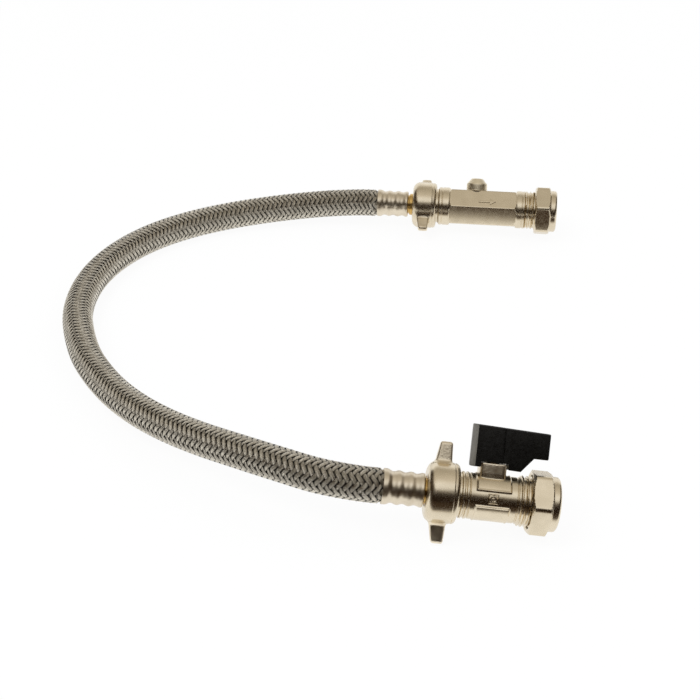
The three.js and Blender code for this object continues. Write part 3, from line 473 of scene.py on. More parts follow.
def ribbonGroup(length, early):
    # Two carriers of each hand, drawn on a straight hose
    count = int(length / hose["stepLength"]) + 1
    x = np.linspace(0, length, count)
    across = hose["ribbonAcross"] + 1
    v = np.linspace(-0.5, 0.5, across)
    perHand = hose["carriers"] // 2
    crossing = hose["pitch"] / hose["carriers"]
    period = 4 * crossing
    middle = hose["radius"] - hose["weaveRise"] - 0.02
    pitchAngle = math.atan2(turn * middle, hose["pitch"])
    halfAngle = hose["ribbonWidth"] / math.cos(pitchAngle) / middle
    fromEnd = np.minimum(x, length - x)
    taper = eased((fromEnd - early) / hose["taperLength"])
    centre = hose["taperRadius"] + (middle - hose["taperRadius"]) * taper
    verts, faces, uvs = [], [], []
    for hand, order in ((1, 0), (1, 1), (-1, 0), (-1, 1)):
        shift = (0.5 if hand == 1 else 1.5) * crossing + order * period / 2
        wave = np.tanh(2.2 * np.cos(turn * (x - shift) / period)) / math.tanh(2.2)
        radius = centre + hose["weaveRise"] * wave * (0.35 + 0.65 * taper)
        angle = turn * order / perHand + hand * turn * x / hose["pitch"]
        angles = angle[:, None] + hand * v[None, :] * halfAngle
        radii = radius[:, None] - hose["ribbonCrown"] * (2 * v[None, :]) ** 2
        base = len(verts) * count * across
        y, z = radii * np.sin(angles), radii * np.cos(angles)
        verts.append(np.stack([np.repeat(x[:, None], across, 1), y, z], 2).reshape(-1, 3))
        made = gridFaces(count, across, False, False, base)
        faces += made if hand == 1 else [face[::-1] for face in made]
        lift = np.repeat(wave[:, None] * 0.5 + 0.5, across, 1)
        uvs.append(np.stack([lift, np.repeat(v[None, :] + 0.5, count, 0)], 2))
    mesh = bpy.data.meshes.new("ribbonGroup")
    mesh.from_pydata((np.concatenate(verts) * mm).tolist(), [], faces)
    layer = mesh.uv_layers.new(name="wires")
    corners = np.empty(len(mesh.loops), np.int32)
    mesh.loops.foreach_get("vertex_index", corners)
    layer.data.foreach_set("uv", np.concatenate([u.reshape(-1, 2) for u in uvs])[corners].ravel())
    mesh.shade_smooth()
    return addObject("hose_braid_wires", mesh)


def braidTree(material):
    # Repeats the ribbon group round the hose and bends it along the route
    tree = bpy.data.node_groups.new("wovenBraid", "GeometryNodeTree")
    sockets = (("Geometry", "INPUT", "Geometry"), ("Repeats", "INPUT", "Int"),
               ("Length", "INPUT", "Float"), ("Line", "INPUT", "Object"), ("Geometry", "OUTPUT", "Geometry"))
    for name, way, kind in sockets:
        tree.interface.new_socket(name, in_out=way, socket_type="NodeSocket" + kind)
    given = addNode(tree, "NodeGroupInput").outputs
    index = addNode(tree, "GeometryNodeInputIndex").outputs[0]
    angle = computed(tree, "MULTIPLY", computed(tree, "DIVIDE", index, given["Repeats"]), turn)
    copies = wired(tree, "GeometryNodeInstanceOnPoints", {
        "Points": wired(tree, "GeometryNodePoints", {"Count": given["Repeats"]}),
        "Instance": given["Geometry"],
        "Rotation": wired(tree, "ShaderNodeCombineXYZ", {"X": angle}),
    })
    real = wired(tree, "GeometryNodeRealizeInstances", {0: copies})
    spot = separated(tree, addNode(tree, "GeometryNodeInputPosition").outputs[0])
    line = wired(tree, "GeometryNodeObjectInfo", {"Object": given["Line"]}, output="Geometry")
    sample = addNode(tree, "GeometryNodeSampleCurve", mode="FACTOR", use_all_curves=True)
    tree.links.new(line, sample.inputs["Curves"])
    tree.links.new(computed(tree, "DIVIDE", spot["X"], given["Length"]), sample.inputs["Factor"])
    normal = sample.outputs["Normal"]
    axes = {0: sample.outputs["Tangent"], 1: normal}
    side = wired(tree, "ShaderNodeVectorMath", axes, operation="CROSS_PRODUCT")
    sums = sample.outputs["Position"]
    for axis, amount in ((normal, spot["Y"]), (side, spot["Z"])):
        scaled = wired(tree, "ShaderNodeVectorMath", {0: axis, "Scale": amount}, operation="SCALE")
        sums = wired(tree, "ShaderNodeVectorMath", {0: sums, 1: scaled}, operation="ADD")
    placed = wired(tree, "GeometryNodeSetPosition", {"Geometry": real, "Position": sums})
    shown = wired(tree, "GeometryNodeSetMaterial", {"Geometry": placed}, {"Material": material})
    tree.links.new(shown, addNode(tree, "NodeGroupOutput").inputs[0])
    return tree


def applied(holder, tree, inputs):
    modifier = holder.modifiers.new("nodes", "NODES")
    modifier.node_group = tree
    for item in tree.interface.items_tree:
        if item.item_type == "SOCKET" and item.in_out == "INPUT" and item.name in inputs:
            modifier[item.identifier] = inputs[item.name]
    bpy.context.view_layer.update()
    graph = bpy.context.evaluated_depsgraph_get()
    made = bpy.data.meshes.new_from_object(holder.evaluated_get(graph))
    holder.modifiers.remove(modifier)
    holder.data = made
    return holder


def makeHose():
    line, length = smoothRoute(hose["route"], 1.0)
    into = hose["intoFerrule"]
    nearOut = np.array(ballEnd["along"]) * into
    farOut = np.array(checkEnd["along"]) * into
    extended = np.vstack([line[0] + nearOut, line, line[-1] + farOut])
    whole = length + 2 * into
    curve = routeCurve(extended)
    wire = braidMaterial()
    holder = ribbonGroup(whole, into - 0.2)
    repeats = hose["carriers"] // 4
    braid = applied(holder, braidTree(wire), {"Repeats": repeats, "Length": whole * mm, "Line": curve})
    bpy.data.objects.remove(curve)
    tangents = np.gradient(line, axis=0)
    tangents /= np.linalg.norm(tangents, axis=1)[:, None]
    side = np.cross(tangents, (0, 0, 1))
    side /= np.linalg.norm(side, axis=1)[:, None]
    top = np.cross(side, tangents)
    angles = anglesRound(40)
    rings = []
    for k in range(0, len(line), 3):
        spoke = np.outer(np.cos(angles), side[k]) + np.outer(np.sin(angles), top[k])
        rings.append(line[k] + hose["linerRadius"] * spoke)
    verts, faces = stacked(rings)
    mesh = bpy.data.meshes.new("hose_liner_tube")
    mesh.from_pydata((verts * mm).tolist(), [], faces)
    facedOutward(mesh)
    mesh.shade_smooth()
    mesh.materials.append(finishes["linerRubber"])
    liner = addObject("hose_liner_tube", mesh)
    standsFor(braid, "hose", "steel_braid", "hose_braid")
    standsFor(liner, "hose", "black_rubber", "hose_liner")
    triangles = sum(len(face.vertices) - 2 for face in braid.data.polygons)
    print("hose made, mm long:", round(length, 1), "triangles:", triangles)


finishes = {name: finishMaterial(name, metals[name], 1, 160, 420) for name in metals}
finishes.update({name: finishMaterial(name, others[name], 0, 260, 700) for name in others})
makeHose()


# Ferrule and hose tail, the same on both ends
ferrule = {
    "length": 16.6, "lipRadius": 7.2, "lipLength": 2.2, "lipCrest": 1.6, "ribRadius": 6.9,
    "ribDepth": 0.6, "ribs": 3, "firstGroove": 4.0, "endLand": 0.8, "wall": 0.6, "foldHole": 4.6,
}


def makeFerrule(name, end, node):
    f = ferrule
    lip, length, firstGroove = f["lipRadius"], f["length"], f["firstGroove"]
    pitch = (length - f["endLand"] - firstGroove) / (f["ribs"] - 0.5)
    low = f["ribRadius"] - f["ribDepth"]
    lipFall = lip - 0.03 - low
    outline = [
        (0.35, lip - f["wall"], 0.2),
        (0, lip - 0.3, 0.2),
        (0.1, lip, 0.3),
        (f["lipCrest"], lip),
    ]
    lipSteps = 8
    for k in range(1, lipSteps + 1):
        x = f["lipCrest"] + (firstGroove - f["lipCrest"]) * k / lipSteps
        outline.append((x, low + lipFall * (0.5 + 0.5 * math.cos(turn * k / lipSteps / 2))))
    perRib = 14
    for k in range(1, int(perRib * (f["ribs"] - 0.5)) + 1):
        rise = 0.5 - 0.5 * math.cos(turn * k / perRib)
        outline.append((firstGroove + pitch * k / perRib, low + f["ribDepth"] * rise))
    outline += [
        (length - 0.1, f["ribRadius"] - 0.15, 0.4),
        (length, f["foldHole"], 0.1),
        (length - 0.9, f["foldHole"]),
        (length - 0.9, low - f["wall"]),
        (f["lipLength"], low - f["wall"]),
    ]
    piece = buildPiece(name, [swept(outline, 96)], end, ["nickelFerrule"], sharpAngle=50)
    standsFor(piece, "hose", "nickel_plate", node)


tail = {
    "start": 16.9, "flangeStart": 22.3, "end": 24.3,
    "bore": 2.8, "neck": 4.3, "groove": 5.1, "bead": 5.75, "flange": 9.9,
}


def makeTail(name, end, node):
    t = tail
    outline = [
        (1.2, t["bore"], 0.1), (1.2, 3.6, 0.1), (14.4, 3.6), (14.4, t["neck"], 0.1),
        (t["start"], t["neck"]), (t["start"], t["groove"], 0.15),
        (t["start"] + 0.6, t["groove"], 0.1), (t["start"] + 0.6, t["bead"], 0.35),
        (t["flangeStart"], t["bead"]), (t["flangeStart"], t["flange"], 0.2),
        (t["end"], t["flange"], 0.2), (t["end"], t["bore"], 0.1),
    ]
    piece = buildPiece(name, [swept(outline, 80)], end, ["brassTurned"])
    standsFor(piece, "hose", "brass", node)


# Swivel wing nut
wingNut = {
    "radius": 12.25, "length": 12.6, "shoulder": 3.7, "flange": 2.8, "bore": 10.75, "hole": 6.0,
    "reach": 20.3, "rootStart": 2.3, "rootLength": 7.2, "tipStart": 4.2, "tipLength": 4.8,
    "rootThickness": 5.2, "tipThickness": 2.8, "edge": 1.0, "fillet": 1.4, "rimStart": 10.6,
}


def roundedRing(halfA, halfB, count, sharpness):
    angles = anglesRound(count)
    power = 2 / sharpness
    a = np.sign(np.cos(angles)) * np.abs(np.cos(angles)) ** power * halfA
    b = np.sign(np.sin(angles)) * np.abs(np.sin(angles)) ** power * halfB
    return a, b


def wingLoft(start):
    w = wingNut
    radius, reach, edge = w["radius"], w["reach"], w["edge"]
    fillet = w["fillet"]
    rings = []
    low = radius - 2.2
    heights = np.concatenate([
        np.linspace(low, radius + fillet, 10),
        np.linspace(radius + fillet + 0.5, reach - edge, 10),
        reach - edge * (1 - np.sin(np.linspace(0.15, 1, 8) * turn / 4)),
    ])
    rootRadius = radius - 2
    for h in heights:
        t = (h - rootRadius) / (reach - rootRadius)
        left = start + w["rootStart"] + (w["tipStart"] - w["rootStart"]) * t
        right = left + w["rootLength"] + (w["tipLength"] - w["rootLength"]) * t
        halfX = (right - left) / 2
        halfY = (w["rootThickness"] + (w["tipThickness"] - w["rootThickness"]) * t) / 2
        above = np.clip((h - radius + 0.3) / fillet, 0, 1)
        flare = fillet * (1 - math.sqrt(1 - (1 - above) ** 2))
        top = np.clip((h - (reach - edge)) / edge, 0, 1)
        shrink = edge * (1 - math.sqrt(max(0.0, 1 - top ** 2)))
        halves = (halfX + flare * 0.4 - shrink, max(0.15, halfY + flare - shrink))
        a, b = roundedRing(*halves, count=40, sharpness=5.0)
        rings.append(level((left + right) / 2 + a, b, h))
    return stacked(rings)


def makeWingNut(name, end, node, body, start, wingTurn):
    w = wingNut
    radius, shoulder = w["radius"], w["shoulder"]
    far = start + w["length"]
    outline = [(start, w["hole"], 0.15)]
    for k in range(13):
        a = turn / 4 * k / 12
        back, fall = shoulder * (1 - math.cos(a)), shoulder * (1 - math.sin(a))
        outline.append((start + back, radius - fall))
    outline += [
        (start + w["rimStart"] - 0.3, radius - 0.05, 0.2),
        (start + w["rimStart"], radius - 0.3, 0.2),
        (start + w["rimStart"] + 0.3, radius - 0.3, 0.2),
        (start + w["rimStart"] + 0.6, radius - 0.1, 0.3),
        (far - 0.6, radius - 0.4, 0.4), (far, radius - 1, 0.3),
        (far, w["bore"], 0.2), (start + w["flange"], w["bore"]), (start + w["flange"], w["hole"]),
    ]
    upper = wingLoft(start)
    parts = [swept(outline, 128, rounding=5), upper, turnedAbout(upper, 180)]
    parts = [turnedAbout(part, wingTurn) for part in parts]

    def castOrTurned(spot):
        return 1 if math.hypot(spot[1], spot[2]) > radius + 0.25 else 0

    piece = buildPiece(name, parts, end, ["nickelSatin", "nickelCast"], castOrTurned)
    standsFor(piece, body, "nickel_plate", node)


# Compression nut and the thread it runs on
pipeNut = {
    "across": 24.0, "hexLength": 8.0, "collarLength": 3.5, "collarRadius": 11.0, "engaged": 5.2,
    "bore": 10.75, "hole": 7.8, "endWall": 1.4, "chamfer": 1.15, "edge": 1.3,
    "coneStart": 2.5, "coneEnd": 4.6,
}


def makePipeNut(name, end, node, body, mouth, hexTurn):
    n = pipeNut
    collar, hole, bore = n["collarRadius"], n["hole"], n["bore"]
    start = mouth - n["engaged"]
    hexEnd = start + n["hexLength"]
    far = hexEnd + n["collarLength"]
    flat, corner = n["across"] / 2, n["across"] / 2 / math.cos(turn / 12)
    outline = [
        (start + 0.5, bore, 0.1), (start, bore + 0.5, 0.1), (start, flat - 0.25, 0.1),
        (start + n["chamfer"], corner + 0.15, 0.2), (hexEnd - n["chamfer"], corner + 0.15, 0.2),
        (hexEnd, flat - 0.2, 0.1), (hexEnd, collar + 0.35, 0.1),
        (hexEnd + 0.3, collar, 0.2), (far - 0.9, collar, 0.5),
        (far - 0.25, collar - 0.55, 0.3), (far, collar - 1.2, 0.2),
        (far, hole + 0.25, 0.1), (far - 0.25, hole, 0.1), (far - n["endWall"], hole),
        (mouth + n["coneEnd"], 8.2), (mouth + n["coneStart"], 9.6), (mouth + n["coneStart"], bore),
    ]

    def reshape(x, radius, angle):
        flats = hexRadius(angle, n["across"], -hexTurn, n["edge"])
        shaped = smoothMin(radius, flats, 0.22)
        useHex = (radius > collar + 0.45) & (x < hexEnd + 0.01)
        return np.where(useHex, shaped, radius)

    piece = buildPiece(
        name, [swept(outline, 240, reshape, 0.45)], end, ["nickelSatin"], sharpAngle=24,
    )
    standsFor(piece, body, "nickel_plate", node)


def mouthOutline(shoulder, mouth, stop, stopBore):
    crest, socket = threads["pipeCrest"], 7.65
    return [
        (shoulder + 0.02, crest - 0.8), (shoulder + 0.4, crest), (mouth - 0.8, crest, 0.2),
        (mouth, crest - 0.8, 0.1), (mouth, 8.8, 0.1), (mouth - 1.3, socket), (stop, socket),
        (stop, stopBore),
    ]


# The outline where a body's thread for the wing nut begins
def nutEndOutline(start, end, bore):
    crest = threads["hoseCrest"]
    return [(start, bore), (start, 9.6, 0.1), (start + 0.8, crest, 0.1), (end - 0.1, crest, 0.1)]


def bodyThreads(v, shoulder):
    pipe = threadReshape(shoulder + 0.2, v["mouth"] - 0.9, threads["pipeCrest"])
    nut = threadReshape(v["threadStart"] + 0.4, v["threadEnd"] + 0.2, threads["hoseCrest"])

    def reshape(x, radius, angle):
        return nut(x, pipe(x, radius, angle), angle)
    return reshape


# Ball valve body
ballBody = {
    "start": 34.5, "end": 54.4, "stem": 42.9, "mouth": 64.0, "radius": 9.2, "relief": 8.8,
    "threadStart": 26.7, "threadEnd": 29.5, "pad": 13.8, "padCentre": 43.4, "padRise": 0.26,
    "padGap": 2.9, "padEdge": 0.4, "padBorder": 0.24, "stamp": 4.2, "stampRise": 0.34, "stampRing": 1.25,
    "stampDot": 0.42, "neckWidth": 10.8,
    "neckTop": 13.7, "neckFillet": 0.5, "stopTurn": 40, "stopSize": 1.0, "stopReach": 7.6,
    "pipeStop": 52.7, "seatEnd": 50.2, "port": 4.4, "rings": (31.1, 32.9),
    "bore": 7.2, "spindleHole": 2.95, "neckSharpness": 5.5,
}


def makeBallBody():
    b = ballBody
    relief, body, first = b["relief"], b["radius"], b["start"]
    last, centre, stem = b["end"], b["padCentre"], b["stem"]
    outline = nutEndOutline(b["threadStart"], b["threadEnd"], b["bore"])
    outline.append((b["threadEnd"] + 0.5, relief, 0.1))
    for ring in b["rings"]:
        outline += [
            (ring - 0.1, relief, 0.15), (ring + 0.15, relief + 0.6, 0.2),
            (ring + 0.95, relief + 0.6, 0.2), (ring + 1.2, relief, 0.15),
        ]
    outline += [
        (first - 0.15, relief, 0.1), (first, body - 0.1, 0.2),
        (first + 0.3, body, 0.2), (centre, body - 0.1),
        (last - 1.5, body, 0.1), (last - 1.3, body - 0.35, 0.15),
        (last - 0.9, body - 0.35, 0.15), (last - 0.7, body + 0.1, 0.2),
        (last - 0.1, body + 0.1, 0.2),
        *mouthOutline(last, b["mouth"], b["pipeStop"], b["port"]), (b["seatEnd"], b["port"]),
        (b["seatEnd"], b["bore"]),
    ]
    threaded = bodyThreads(b, last)

    def edge(value):
        return 0.5 + 0.5 * np.tanh(value / b["padEdge"] * 2)

    def reshape(x, radius, angle):
        changed = threaded(x, radius, angle)
        lengthwise = b["pad"] / 2 - np.abs(x - centre)
        upward = np.abs(radius * np.cos(angle)) - b["padGap"]
        border = np.exp(-((np.minimum(lengthwise, upward) - 0.3) / 0.28) ** 2) * b["padBorder"]
        raised = edge(lengthwise) * edge(upward) * b["padRise"] + border
        outer = (radius > body - 0.2) & (x > first + 0.4) & (x < last - 1.6)
        return np.where(outer, changed + raised, changed)

    barrel = swept(outline, 288, reshape, 0.24)
    half, top, fillet = b["neckWidth"] / 2, b["neckTop"], b["neckFillet"]
    plan = np.stack(roundedRing(half, half, 64, b["neckSharpness"]), 1)
    rings = []
    surface = np.sqrt(np.maximum(body ** 2 - plan[:, 1] ** 2, 1))
    foot = surface - 1.0
    footRows, neckRows = 13, 12
    for k in range(footRows + neckRows + 1):
        if k <= footRows:
            z = foot + (surface + fillet - foot) * k / footRows
        else:
            z = surface + fillet + (top - 0.3 - surface - fillet) * (k - footRows) / neckRows
        above = np.clip((z - surface) / fillet, 0, 1)
        flare = fillet * (1 - np.sqrt(1 - (1 - above) ** 2)) * 0.8
        widen = (half + flare) / half
        rings.append(np.stack([stem + plan[:, 0] * widen, plan[:, 1] * widen, z], 1))
    for inset, z in ((0.1, top - 0.08), (0.35, top)):
        shrink = (half - inset) / half
        rings.append(level(stem + plan[:, 0] * shrink, plan[:, 1] * shrink, z))
    rings += [circleAt(stem, b["spindleHole"], z, anglesRound(64)) for z in (top, top - 5)]
    neck = stacked(rings)
    halfStop = b["stopSize"] / 2
    stop = block((0, b["stopReach"]), (-halfStop, halfStop), (top - 1.9, top), 0.2)
    stop = turnedAbout(stop, b["stopTurn"], 0, 1)
    piece = buildPiece(
        "ball_valve_casting", [barrel, neck, shifted(stop, stem), stampPart()], ballEnd,
        ["nickelSatin", "nickelCast"],
        lambda spot: 1 if spot[2] > body + 0.55 and abs(spot[0] - stem) < 8.5 else 0,
    )
    standsFor(piece, "ball_valve", "nickel_plate", "ball_valve_body")


def block(xs, ys, zs, bevel):
    shape = bmesh.new()
    bmesh.ops.create_cube(shape, size=1)
    for vert in shape.verts:
        for k, span in enumerate((xs, ys, zs)):
            vert.co[k] = span[0] + (vert.co[k] + 0.5) * (span[1] - span[0])
    bmesh.ops.bevel(shape, geom=shape.edges[:], offset=bevel, segments=3, profile=0.5, affect="EDGES")
    return takenFrom(shape)


def stampPart():
    # A raised square with a plain ring on it, wrapped on the side of the body
    b = ballBody
    cells = 44
    half = b["stamp"] / 2 + 0.3
    grid = np.linspace(-half, half, cells + 1)
    x, z = np.meshgrid(grid, grid, indexing="ij")
    inSquare = np.clip((b["stamp"] / 2 - np.maximum(np.abs(x), np.abs(z))) / 0.2 + 0.5, 0, 1)
    away = np.hypot(x, z)
    ringBand = np.clip((0.28 - np.abs(away - b["stampRing"])) / 0.16 + 0.5, 0, 1)
    dot = np.clip((b["stampDot"] - away) / 0.16 + 0.5, 0, 1)
    frameBand = np.clip((np.maximum(np.abs(x), np.abs(z)) - 1.72) / 0.14 + 0.5, 0, 1)
    rise = inSquare * (0.1 + (b["stampRise"] - 0.1) * np.maximum.reduce([ringBand, dot, frameBand])) - 0.06
    radius = b["radius"] - 0.1 + rise
    angle = -turn / 4 + z / b["radius"]
    verts = np.stack([b["padCentre"] + x, radius * np.sin(angle), radius * np.cos(angle)], 2).reshape(-1, 3)
    faces = gridFaces(cells + 1, cells + 1, False, False)
    count = len(verts)
    inner = np.stack([
        b["padCentre"] + x, (b["radius"] - 0.8) * np.sin(angle), (b["radius"] - 0.8) * np.cos(angle),
    ], 2).reshape(-1, 3)
    faces += [tuple(count + k for k in face[::-1]) for face in faces]
    rim = [i * (cells + 1) for i in range(cells + 1)]
    rim += [cells * (cells + 1) + j for j in range(1, cells + 1)]
    rim += [i * (cells + 1) + cells for i in range(cells - 1, -1, -1)]
    rim += [j for j in range(cells - 1, 0, -1)]
    for a, c in zip(rim, rim[1:] + rim[:1]):
        faces.append((a, c, count + c, count + a))
    return np.vstack([verts, inner]), faces


# Lever: its side outline and its plan, both from the stem
lever = {
    "stem": 42.9, "hubStart": -9.3, "seam": 3.5, "flagEnd": 21.6, "hubHalf": 4.4, "flagHalf": 3.5,
    "top": 28.7, "topFall": 1.1, "skirt": 11.9, "skirtEnd": 11.0, "flagBottom": 17.2, "flagStart": 15.8,
    "edge": 0.5, "endTaper": 3.4, "endWedge": 1.6, "pocket": 6.9, "pocketTop": 14.0,
    "screwHole": 3.4, "screwSeat": 24.1, "driveHalf": 2.1,
}


def makeLever():
    v = lever
    stem, seam, skirt = v["stem"], v["seam"], v["skirt"]
    skirtEnd, flagStart, flagBottom = v["skirtEnd"], v["flagStart"], v["flagBottom"]
    left, right = v["hubStart"], v["flagEnd"]
    xs = np.concatenate([
        left + np.array([0, 0.08, 0.25, 0.5, 0.8, 1.2, 1.8, 2.4, 3.2]),
        np.linspace(left + 4.2, seam - 0.3, 8), seam + np.array([-0.12, 0, 0.1, 0.22, 0.4]),
        np.linspace(seam + 1, skirtEnd - 0.6, 7), skirtEnd + np.array([-0.3, 0, 0.3, 0.7]),
        np.linspace(skirtEnd + 1.2, flagStart - 0.6, 5),
        flagStart + np.array([-0.3, 0, 0.4, 0.9]),
        np.linspace(flagStart + 1.6, right - 1.4, 4),
        right - np.array([1.0, 0.65, 0.35, 0.15, 0.05, 0]),
    ])
    rings = []
    corner = 10
    for x in xs:
        share = (x - left) / (right - left)
        top = v["top"] - v["topFall"] * share
        if x <= skirtEnd:
            bottom = skirt - 0.4 * max(0.0, x) / skirtEnd
        elif x <= flagStart:
            slope = (x - skirtEnd) / (flagStart - skirtEnd)
            bottom = skirt - 0.4 + (flagBottom - skirt + 0.4) * slope
        else:
            bottom = flagBottom
        step = np.clip((x - seam + 0.15) / 0.35, 0, 1)
        half = v["hubHalf"] + (v["flagHalf"] - v["hubHalf"]) * step
        fromLeft, fromRight = x - left, right - x
        inLeft = v["endTaper"] * max(0.0, 1 - fromLeft / v["endWedge"])
        nearEnd = min(fromLeft, fromRight)
        r = v["edge"]
        soften = r * (1 - math.sqrt(max(0, 1 - (1 - min(nearEnd, r) / r) ** 2)))
        half -= inLeft + (soften * 0.8 if fromRight < fromLeft else 0)
        top -= soften
        bottom += soften
        ring = []
        for cy, cz, first in ((1, 1, 0), (-1, 1, 1), (-1, -1, 2), (1, -1, 3)):
            for k in range(corner):
                a = (first + k / (corner - 1)) * turn / 4
                y = cy * max(half - r, 0.05) + min(r, half) * math.cos(a)
                z = (top - r if cz > 0 else bottom + r) + r * math.sin(a)
                ring.append((stem + x, y, z))
        rings.append(ring)
    solid = buildPiece("lever_handle_moulding", [stacked(rings)], ballEnd, ["leverPlastic"])

    def cutter(low, high, radius):
        return stacked([circleAt(stem, radius, z, anglesRound(64)) for z in (low, high)])

    drive = v["driveHalf"]
    square = block((stem - drive, stem + drive), (-drive, drive), (13.0, 21.1), 0.15)
    tools = [cutter(8, v["pocketTop"], v["pocket"]), square, cutter(v["screwSeat"], 32, v["screwHole"])]
    for tool in tools:
        knife = buildPiece("leverTool", [tool], ballEnd, [])
        cut = solid.modifiers.new("cut", "BOOLEAN")
        cut.operation = "DIFFERENCE"
        cut.solver = "EXACT"
        cut.object = knife
        graph = bpy.context.evaluated_depsgraph_get()
        made = bpy.data.meshes.new_from_object(solid.evaluated_get(graph))
        solid.modifiers.remove(cut)
        solid.data = made
        bpy.data.objects.remove(knife)
    # The faces at the lever's left end take the light grey finish, a painted reflection of the white
    # surroundings; the rest take the black plastic
    solid.data.materials.clear()
    solid.data.materials.append(finishes["leverPlastic"])
    solid.data.materials.append(finishes["leverEndPaintedReflection"])
    along = np.array(ballEnd["along"])
    mouth = np.array(ballEnd["mouth"]) * mm
    for face in solid.data.polygons:
        spot = np.dot(np.array(face.center) - mouth, along) / mm
        facing = np.dot(np.array(face.normal), along)
        onEnd = spot < stem + left + v["endWedge"] and facing < -0.5
        face.material_index = 1 if onEnd else 0
    solid.data.set_sharp_from_angle(angle=math.radians(38))
    standsFor(solid, "lever", "black_plastic", "lever_handle")


# Check valve body
checkBody = {
    "collarStart": 33.3, "hexStart": 39.4, "hexEnd": 75.0, "outerEnd": 79.7, "mouth": 90.5,
    "threadStart": 26.7, "threadEnd": 31.4, "relief": 9.0, "across": 18.3, "innerCollar": 10.15,
    "outerCollar": 10.0, "boss": 53.4, "bossRadius": 5.5, "bossStraight": 3.5, "bossCone": 3.0,
    "bossTop": 2.9, "bossFillet": 0.35, "plugHole": 2.1, "arrow": 59.5, "arrowRise": 0.5,
    "hexTurn": 30, "edge": 0.35, "bore": 6.6, "pipeStop": 77.2, "seatEnd": 74.4, "port": 5.2,
}


def makeCheckBody():
    c = checkBody
    inner, outer, collar = c["innerCollar"], c["outerCollar"], c["collarStart"]
    hexStart, hexEnd, outerEnd = c["hexStart"], c["hexEnd"], c["outerEnd"]
    fillet, bossRadius, plugHole = c["bossFillet"], c["bossRadius"], c["plugHole"]
    threadEnd = c["threadEnd"]
    corner = c["across"] / 2 / math.cos(turn / 12) + 0.3
    def grooved(x, radius):
        return [(x, radius, 0.1), (x + 0.2, radius - 0.25, 0.1), (x + 0.5, radius - 0.25, 0.1),
                (x + 0.7, radius, 0.1)]

    outline = nutEndOutline(c["threadStart"], threadEnd, c["bore"]) + [
        (threadEnd + 0.4, c["relief"], 0.2),
        (collar - 0.2, c["relief"], 0.1), (collar, inner - 0.4, 0.2),
        (collar + 0.5, inner, 0.2), *grooved(collar + 1.6, inner),
        (hexStart - 0.7, inner, 0.3), (hexStart + 0.1, corner - 1.2, 0.2),
        (hexStart + 1.0, corner, 0.4), (hexEnd - 1.0, corner, 0.4),
        (hexEnd - 0.1, corner - 1.2, 0.2), (hexEnd + 0.7, outer, 0.3),
        *grooved(outerEnd - 1.7, outer), (outerEnd - 0.1, outer, 0.2),
        *mouthOutline(outerEnd, c["mouth"], c["pipeStop"], c["port"]), (c["seatEnd"], c["port"]),
        (c["seatEnd"], c["bore"]),
    ]
    threaded = bodyThreads(c, outerEnd)

    def reshape(x, radius, angle):
        changed = threaded(x, radius, angle)
        flats = hexRadius(angle, c["across"], -c["hexTurn"], c["edge"])
        onHex = (x > hexStart) & (x < hexEnd) & (radius > 8)
        return np.where(onHex, smoothMin(changed, flats, 0.16), changed)

    barrel = swept(outline, 240, reshape, 0.5)
    foot = c["across"] / 2
    top = foot + c["bossStraight"] + c["bossCone"]
    profile = [(foot - 1.2, bossRadius + fillet)]
    filletSteps = 6
    for k in range(filletSteps + 1):
        above = k / filletSteps
        flare = fillet * (1 - math.sqrt(1 - (1 - above) ** 2))
        profile.append((foot + above * fillet, bossRadius + flare))
    capped = roundedOutline([
        (foot + fillet + 0.1, bossRadius), (foot + c["bossStraight"], bossRadius, 0.5),
        (top - 0.3, c["bossTop"] + 0.3, 0.2), (top, c["bossTop"] - 0.1, 0.2),
        (top, plugHole + 0.2, 0.1),
        (top - 0.3, plugHole), (top - 4.8, plugHole),
    ])
    profile += [tuple(point) for point in capped]
    boss = stacked([circleAt(c["boss"], r, z, anglesRound(72)) for z, r in profile])
    # The boss takes the rougher nickel, whose lighter colour is painted light
    piece = buildPiece(
        "check_valve_casting", [barrel, boss, arrowPart()], checkEnd,
        ["nickelSatin", "nickelMattePaintedLight"],
        lambda spot: 1 if spot[2] > foot + 0.1 and abs(spot[0] - c["boss"]) < 6.2 else 0, sharpAngle=28,
    )
    standsFor(piece, "check_valve", "nickel_plate", "check_valve_body")


def arrowPart():
    # A plain raised flow arrow on the flat that faces up and to the side
    c = checkBody
    outline = [(-4.6, -0.6), (1.4, -0.6), (1.4, -1.9), (4.6, 0), (1.4, 1.9), (1.4, 0.6), (-4.6, 0.6)]
    flat = c["across"] / 2
    shape = bmesh.new()
    low = [shape.verts.new((x, y, flat - 0.5)) for x, y in outline]
    face = shape.faces.new(low)
    made = bmesh.ops.extrude_face_region(shape, geom=[face])
    for item in made["geom"]:
        if isinstance(item, bmesh.types.BMVert):
            item.co.z = flat + c["arrowRise"]
    topEdges = [e for e in shape.edges if all(v.co.z > flat for v in e.verts)]
    bmesh.ops.bevel(shape, geom=topEdges, offset=0.12, segments=2, profile=0.5, affect="EDGES")
    verts, faces = takenFrom(shape)
    verts[:, 1] -= 1.6
    part = turnedAbout((verts, faces), 60)
    return shifted(part, c["arrow"])


for end, prefix in ((ballEnd, "ball_valve"), (checkEnd, "check_valve")):
    makeFerrule(prefix + "_ribbed_ferrule", end, prefix + "_ferrule")
    makeTail(prefix + "_brass_tail", end, prefix + "_hose_tail")
makeWingNut("ball_valve_cast_wing_nut", ballEnd, "ball_valve_wing_nut", "near_wing_nut", 17.3, 0)
makeWingNut("check_valve_cast_wing_nut", checkEnd, "check_valve_wing_nut", "far_wing_nut", 19.2, -48)
makePipeNut("ball_valve_hex_nut", ballEnd, "ball_valve_compression_nut", "near_compression_nut", 64.0, 38)
makePipeNut("check_valve_hex_nut", checkEnd, "check_valve_compression_nut", "far_compression_nut", 90.5, 26)
makeBallBody()
makeCheckBody()
makeLever()
print("valves made")

